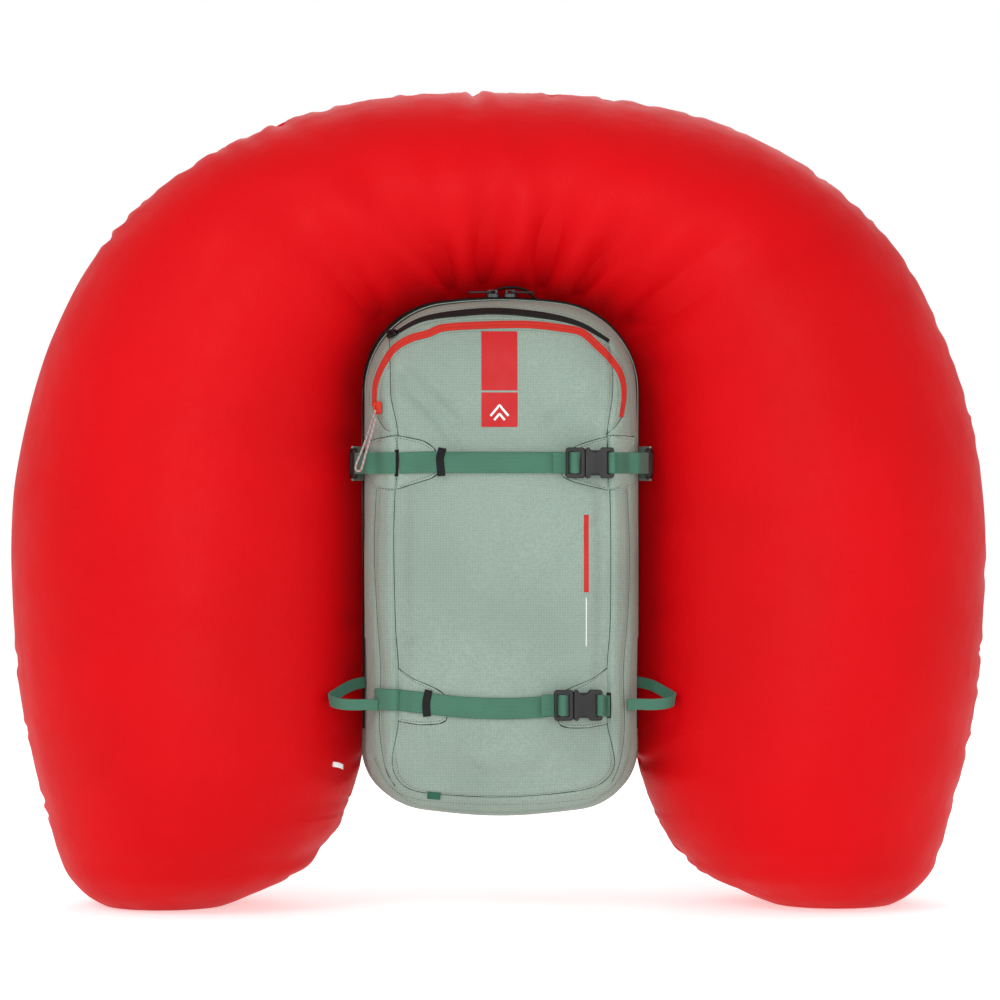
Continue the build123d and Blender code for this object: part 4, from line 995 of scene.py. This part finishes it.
def airbag():
    right = np.array(STATIONS, float) * MM
    left = right[:-1][::-1] * np.array([-1, 1, -1, 1, 1])
    table = np.vstack([right, left])
    n, m = 900, 300
    dense = curve_points(table, 1.0 * MM)
    mid = np.stack([(dense[:, 0] + dense[:, 2]) / 2, (dense[:, 1] + dense[:, 3]) / 2], -1)
    r2 = running(mid)
    u = np.linspace(0, r2[-1], n)
    s = np.stack([np.interp(u, r2, dense[:, k]) for k in range(5)], -1)
    phi = np.linspace(0, 2 * math.pi, m, endpoint=False)
    cx, cz = (s[:, 0] + s[:, 2]) / 2, (s[:, 1] + s[:, 3]) / 2
    dx, dz = s[:, 0] - s[:, 2], s[:, 1] - s[:, 3]
    a = np.hypot(dx, dz) / 2
    dx, dz = dx / (2 * a), dz / (2 * a)
    b = s[:, 4]
    cos, sin = np.cos(phi), np.sin(phi)
    p = np.stack([cx[:, None] + dx[:, None] * a[:, None] * cos, b[:, None] * sin, cz[:, None] + dz[:, None] * a[:,
        None] * cos], -1)
    nrm = np.stack([dx[:, None] * b[:, None] * cos, a[:, None] * sin, dz[:, None] * b[:, None] * cos], -1)
    nrm /= np.linalg.norm(nrm, axis=2)[:, :, None] + 1e-12
    outer_run, inner_run = running(s[:, 0:2]), running(s[:, 2:4])
    girth = ((a + b) / 2)[:, None]
    from_outer = np.minimum(phi, 2 * math.pi - phi)[None] * girth
    from_inner = np.abs(phi - math.pi)[None] * girth
    half = np.where(phi < math.pi, 1, -1)[None]
    d = np.zeros((n, m))

    def crease(edge_run, distance, rows, side, growth=0.05):
        nonlocal d
        for at, width, depth, reach, slant in rows:
            near = np.abs(edge_run - at) < width * 6 + 0.12
            rows_at = np.where(near)[0]
            if len(rows_at) == 0:
                continue
            part = slice(rows_at[0], rows_at[-1] + 1)
            off = edge_run[part, None] - at - slant * distance[part] * 0.5
            spread = width * (1 + distance[part] / growth)
            fade = np.exp(-(distance[part] / reach) ** 1.4) * (half == side)
            d[part] += -depth * np.exp(-(off / spread) ** 2) * fade
            for bank in (-1.9, 1.9):
                d[part] += 0.45 * depth * np.exp(-((off + bank * spread) / spread) ** 2) * fade

    for side in (1, -1):
        crease(outer_run, from_outer, pleats(64, 0.02, outer_run[-1] - 0.02, (0.003, 0.0065), (0.8, 2.4), (0.02,
            0.06)), side)
        crease(inner_run, from_inner, pleats(90, 0.02, inner_run[-1] - 0.02, (0.0035, 0.008), (1.0, 3.0), (0.05,
            0.13)), side)
    half_in = inner_run[-1] / 2
    top = pleats(19, half_in - 0.15, half_in + 0.15, (0.0035, 0.0075), (5.0, 9.5), (0.14, 0.25))
    crease(inner_run, from_inner, top, -1, 0.14)
    pinch = np.array([[outer_run[-1] / 2 + 0.024, 0.004, 4.5 * MM, 0.07, 0.1], [outer_run[-1] / 2 - 0.05, 0.004,
        2.5 * MM, 0.05, -0.1]])
    crease(outer_run, from_outer, pinch, -1)
    d += -1.6 * MM * np.exp(-(from_outer / 0.0022) ** 2) + 0.5 * MM * np.exp(-((from_outer - 0.006) / 0.004) ** 2)
    d += -1.6 * MM * np.exp(-(from_inner / 0.0022) ** 2)
    coarse = p[::6, ::6].reshape(-1, 3)
    wob = field(coarse, (7, 7, 7), 4.4) * 2.0 * MM + field(coarse, (20, 20, 20), 9.1) * 0.7 * MM
    wob = wob.reshape(p[::6, ::6].shape[:2])
    ui = np.linspace(0, wob.shape[0] - 1, n)
    vi = np.linspace(0, wob.shape[1], m, endpoint=False)
    wob = np.hstack([wob, wob[:, :1]])
    u0 = np.clip(ui.astype(int), 0, wob.shape[0] - 2)
    v0 = np.clip(vi.astype(int), 0, wob.shape[1] - 2)
    fu, fv = (ui - u0)[:, None], (vi - v0)[None]
    d += (wob[u0][:, v0] * (1 - fu) * (1 - fv) + wob[u0 + 1][:, v0] * fu * (1 - fv) + wob[u0][:,
        v0 + 1] * (1 - fu) * fv + wob[u0 + 1][:, v0 + 1] * fu * fv)
    foot = np.clip(p[:, :, 2] / 0.05, 0, 1)
    d *= foot
    # Close to the pack the cloth is held in, so it may only crease inwards there.
    close = np.exp(-(from_inner / 0.09) ** 2) * (p[:, :, 2] > 0.09)
    d = np.where(d > 0, d * (1 - close), d) - 0.4 * MM * close
    hug = np.exp(-(from_inner / 0.035) ** 2) * np.clip((p[:, :, 2] - 0.12) / 0.06, 0, 1)
    d = d * (1 - hug) + hug * (4.5 + 1.5 * np.clip((p[:, :, 2] - 0.5) / 0.08, 0, 1)) * MM
    p = p + nrm * d[:, :, None]
    p[:, :, 2] = np.maximum(p[:, :, 2], 0.0)
    # v grows evenly round the tube, so the grid of the cloth stays square.
    size = np.stack([np.repeat(u[:, None], m, 1), phi[None] * girth], -1)
    verts = np.vstack([p.reshape(-1, 3), p[0].mean(0)[None], p[-1].mean(0)[None]])
    faces = [tuple(f) for f in grid_faces(n, m, wrap=True)]
    faces += [(k, n * m, (k + 1) % m) for k in range(m)]
    last = (n - 1) * m
    faces += [(last + k, last + (k + 1) % m, n * m + 1) for k in range(m)]
    uv = np.vstack([size.reshape(-1, 2), [[0, 0], [u[-1], 0]]])
    obj = mesh_object("airbag_skin", verts, faces, "airbag", uv)
    me = obj.data
    outward = sum(f.normal.x * math.copysign(1, f.center.x) * f.area for f in me.polygons if abs(f.center.x) > 0.42)
    if outward < 0:
        me.flip_normals()
    put(obj, replaces=["airbag_outer"])
    hit = skin_tree(me).ray_cast(Vector((-0.162, -0.4, 0.1425)), Vector((0, 1, 0)))[0]
    if hit is not None:
        at = np.array(hit)
        line = np.array([at + np.array(v) * MM for v in ((0, 1, 0), (3, -0.8, -0.3), (7, 0.4, -1.2), (10.5, 2.5,
            -3))])
        line = curve_points(line, 1 * MM)
        put(ribbon("airbag_tag", line, (0, 0.25, 0.968), (0, -0.968, 0.25), 5 * MM, 0.5 * MM, "print_white"))


# ---------------------------------------------------------------- padded harness
def pad(node, name, mat, voxel, cap, shrink=1.2 * MM):
    """A padded piece: the CAD solid remeshed, filled by a short cloth simulation, then subdivided."""
    obj = voxel_copy(node, name, voxel)
    me = evaluated(obj)
    obj.modifiers.clear()
    obj.data = me
    co = np.zeros(len(me.vertices) * 3)
    me.vertices.foreach_get("co", co)
    nr = np.zeros(len(me.vertices) * 3)
    me.vertices.foreach_get("normal", nr)
    start = co.reshape(-1, 3) - nr.reshape(-1, 3) * shrink
    me.vertices.foreach_set("co", start.ravel())
    cloth = obj.modifiers.new("cloth", "CLOTH")
    for key, value in (("quality", 5), ("mass", 0.3), ("tension_stiffness", 12), ("compression_stiffness", 12),
            ("bending_stiffness", 0.6), ("use_pressure", True), ("uniform_pressure_force", 4.0)):
        setattr(cloth.settings, key, value)
    cloth.settings.effector_weights.gravity = 0
    cloth.point_cache.frame_start = 1
    cloth.point_cache.frame_end = 20
    for f in range(1, 21):
        scene.frame_set(f)
    done = obj.evaluated_get(bpy.context.evaluated_depsgraph_get()).to_mesh()
    out = np.zeros(len(me.vertices) * 3)
    done.vertices.foreach_get("co", out)
    move = out.reshape(-1, 3) - start
    far = np.linalg.norm(move, axis=1)[:, None] + 1e-9
    move *= np.minimum(1, cap / far)
    obj.modifiers.clear()
    me.vertices.foreach_set("co", (start + move).ravel())
    scene.frame_set(1)
    me.update()
    smoothed(obj, 2)
    sub = obj.modifiers.new("fine", "SUBSURF")
    sub.levels = sub.render_levels = 1
    me = settle(obj, mat)
    if node == "hip_wings":
        # The wing's lower edge rises outwards, round the hip.
        lo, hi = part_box(node)
        for v in me.vertices:
            t = min(1.0, max(0.0, (abs(v.co.x) - 0.098) / 0.016))
            v.co.z = hi.z - (hi.z - v.co.z) * (1 + ((hi.z - 0.147) / (hi.z - lo.z) - 1) * t * t * (3 - 2 * t))
    put(obj, "pack", [node])


def harness():
    for node, name, mat, voxel, cap in (("back_panel", "back_panel_pad", "mesh", 4, 3), ("lumbar_pad",
            "lumbar_pad_soft", "mesh", 3.5, 3), ("hip_wings", "hip_wing_pads", "pad_face", 3, 2.5),
            ("shoulder_strap_left", "shoulder_pad_left", "pad_face", 3, 2.5), ("shoulder_strap_right",
            "shoulder_pad_right", "pad_face", 3, 2.5)):
        pad(node, name, mat, voxel * MM, cap * MM)


def harness_trim():
    """Stitched channels across the back panel and the lumbar pad, on the face that meets the wearer."""
    back = tree_of("back_panel")
    lumbar = tree_of("lumbar_pad")

    def face_line(tree, points, lift, radius=0.9 * MM):
        line = curve_points(points, 3 * MM)
        out = []
        for x, z in line:
            hit = cast(tree, Vector((x, 0.3, z)), Vector((0, -1, 0)), Vector((1 * MM, 0, 1 * MM)))[0]
            if hit is not None:
                out.append((hit.x, hit.y + lift, hit.z))
        return tube("trim", out, radius, "binding", sides=8) if len(out) > 3 else None

    w = min(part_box("back_panel")[1].x, 0.105)
    cords = []
    for side in (-1, 1):
        for z0, z1 in ((0.262, 0.318), (0.342, 0.398), (0.422, 0.485)):
            cords.append([(side * 0.018, z0), (side * w * 0.86, z0), (side * w * 0.94, (z0 + z1) / 2),
                (side * w * 0.86, z1), (side * 0.018, z1), (side * 0.014, (z0 + z1) / 2), (side * 0.018, z0)])
    made = [face_line(back, line, 0.2 * MM) for line in cords]
    llo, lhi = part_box("lumbar_pad")
    for side in (-1, 1):
        a, b = llo.z + 0.014, lhi.z - 0.014
        w = lhi.x - 0.010
        made.append(face_line(lumbar, [(side * 0.010, a), (side * w, a), (side * w, b), (side * 0.010, b),
            (side * 0.010, a)], 0.2 * MM))
    made = [m for m in made if m]
    put(join("harness_piping", made))


# ---------------------------------------------------------------- everything else from the CAD
KEEP = {"shell_flat": ("airbag_compartment", ), "airbag": ("airbag_inner", "airbag_flange"),
    "plastic": ("frame_sheet", "venturi"), "alloy": ("frame_stays", "gas_cylinder", "valve_head"),
    "steel": ("striker", "striker_spring"), "rubber": ("check_flap", "pressure_hose")}


def kept_nodes():
    for mat, nodes in KEEP.items():
        for node in nodes:
            obj = frame["nodes"][node]
            obj.data.materials.clear()
            obj.data.materials.append(MATS[mat])
    for node, voxel, body in (("sternum_buckle_male", 0.5, "sternum_male"), ("sternum_buckle_female", 0.5,
            "sternum_strap"), ("sternum_sliders", 0.5, "sternum_strap"), ("sternum_rails", 0.6, "pack"),
            ("hip_buckle_male", 0.7, "hip_male"), ("hip_buckle_female", 0.7, "pack"), ("trigger_handle", 0.6,
            "trigger"), ("trigger_socket", 0.5, "pack")):
        mat, slot_shadow = ("handle", "handle_red") if node == "trigger_handle" else ("plastic", "plastic_black")
        remade(node, mat, voxel * MM, body)
    solid = webbing("black harness webbing", (0.010, 0.010, 0.011), sheen=0.03, flat=False)
    for node, body in (("harness_webbing", "pack"), ("cylinder_straps", "pack"), ("sternum_webbing", "sternum_strap"),
            ("sternum_buckle_loop", "sternum_male"), ("hip_buckle_loop", "hip_male")):
        remade(node, solid, 0.6 * MM, body, 2, node + "_woven", 0.2)
    remade("trigger_cable", "rubber", 0.5 * MM, "pack", 3, "trigger_cable_sheath", 0.4)


materials()
studio()
pack_shell()
front_zips()
side_zips()
seams()
patches()
labels()
front_straps()
loops_and_trim()
sliders()
pull_cord()
airbag()
harness()
harness_trim()
kept_nodes()
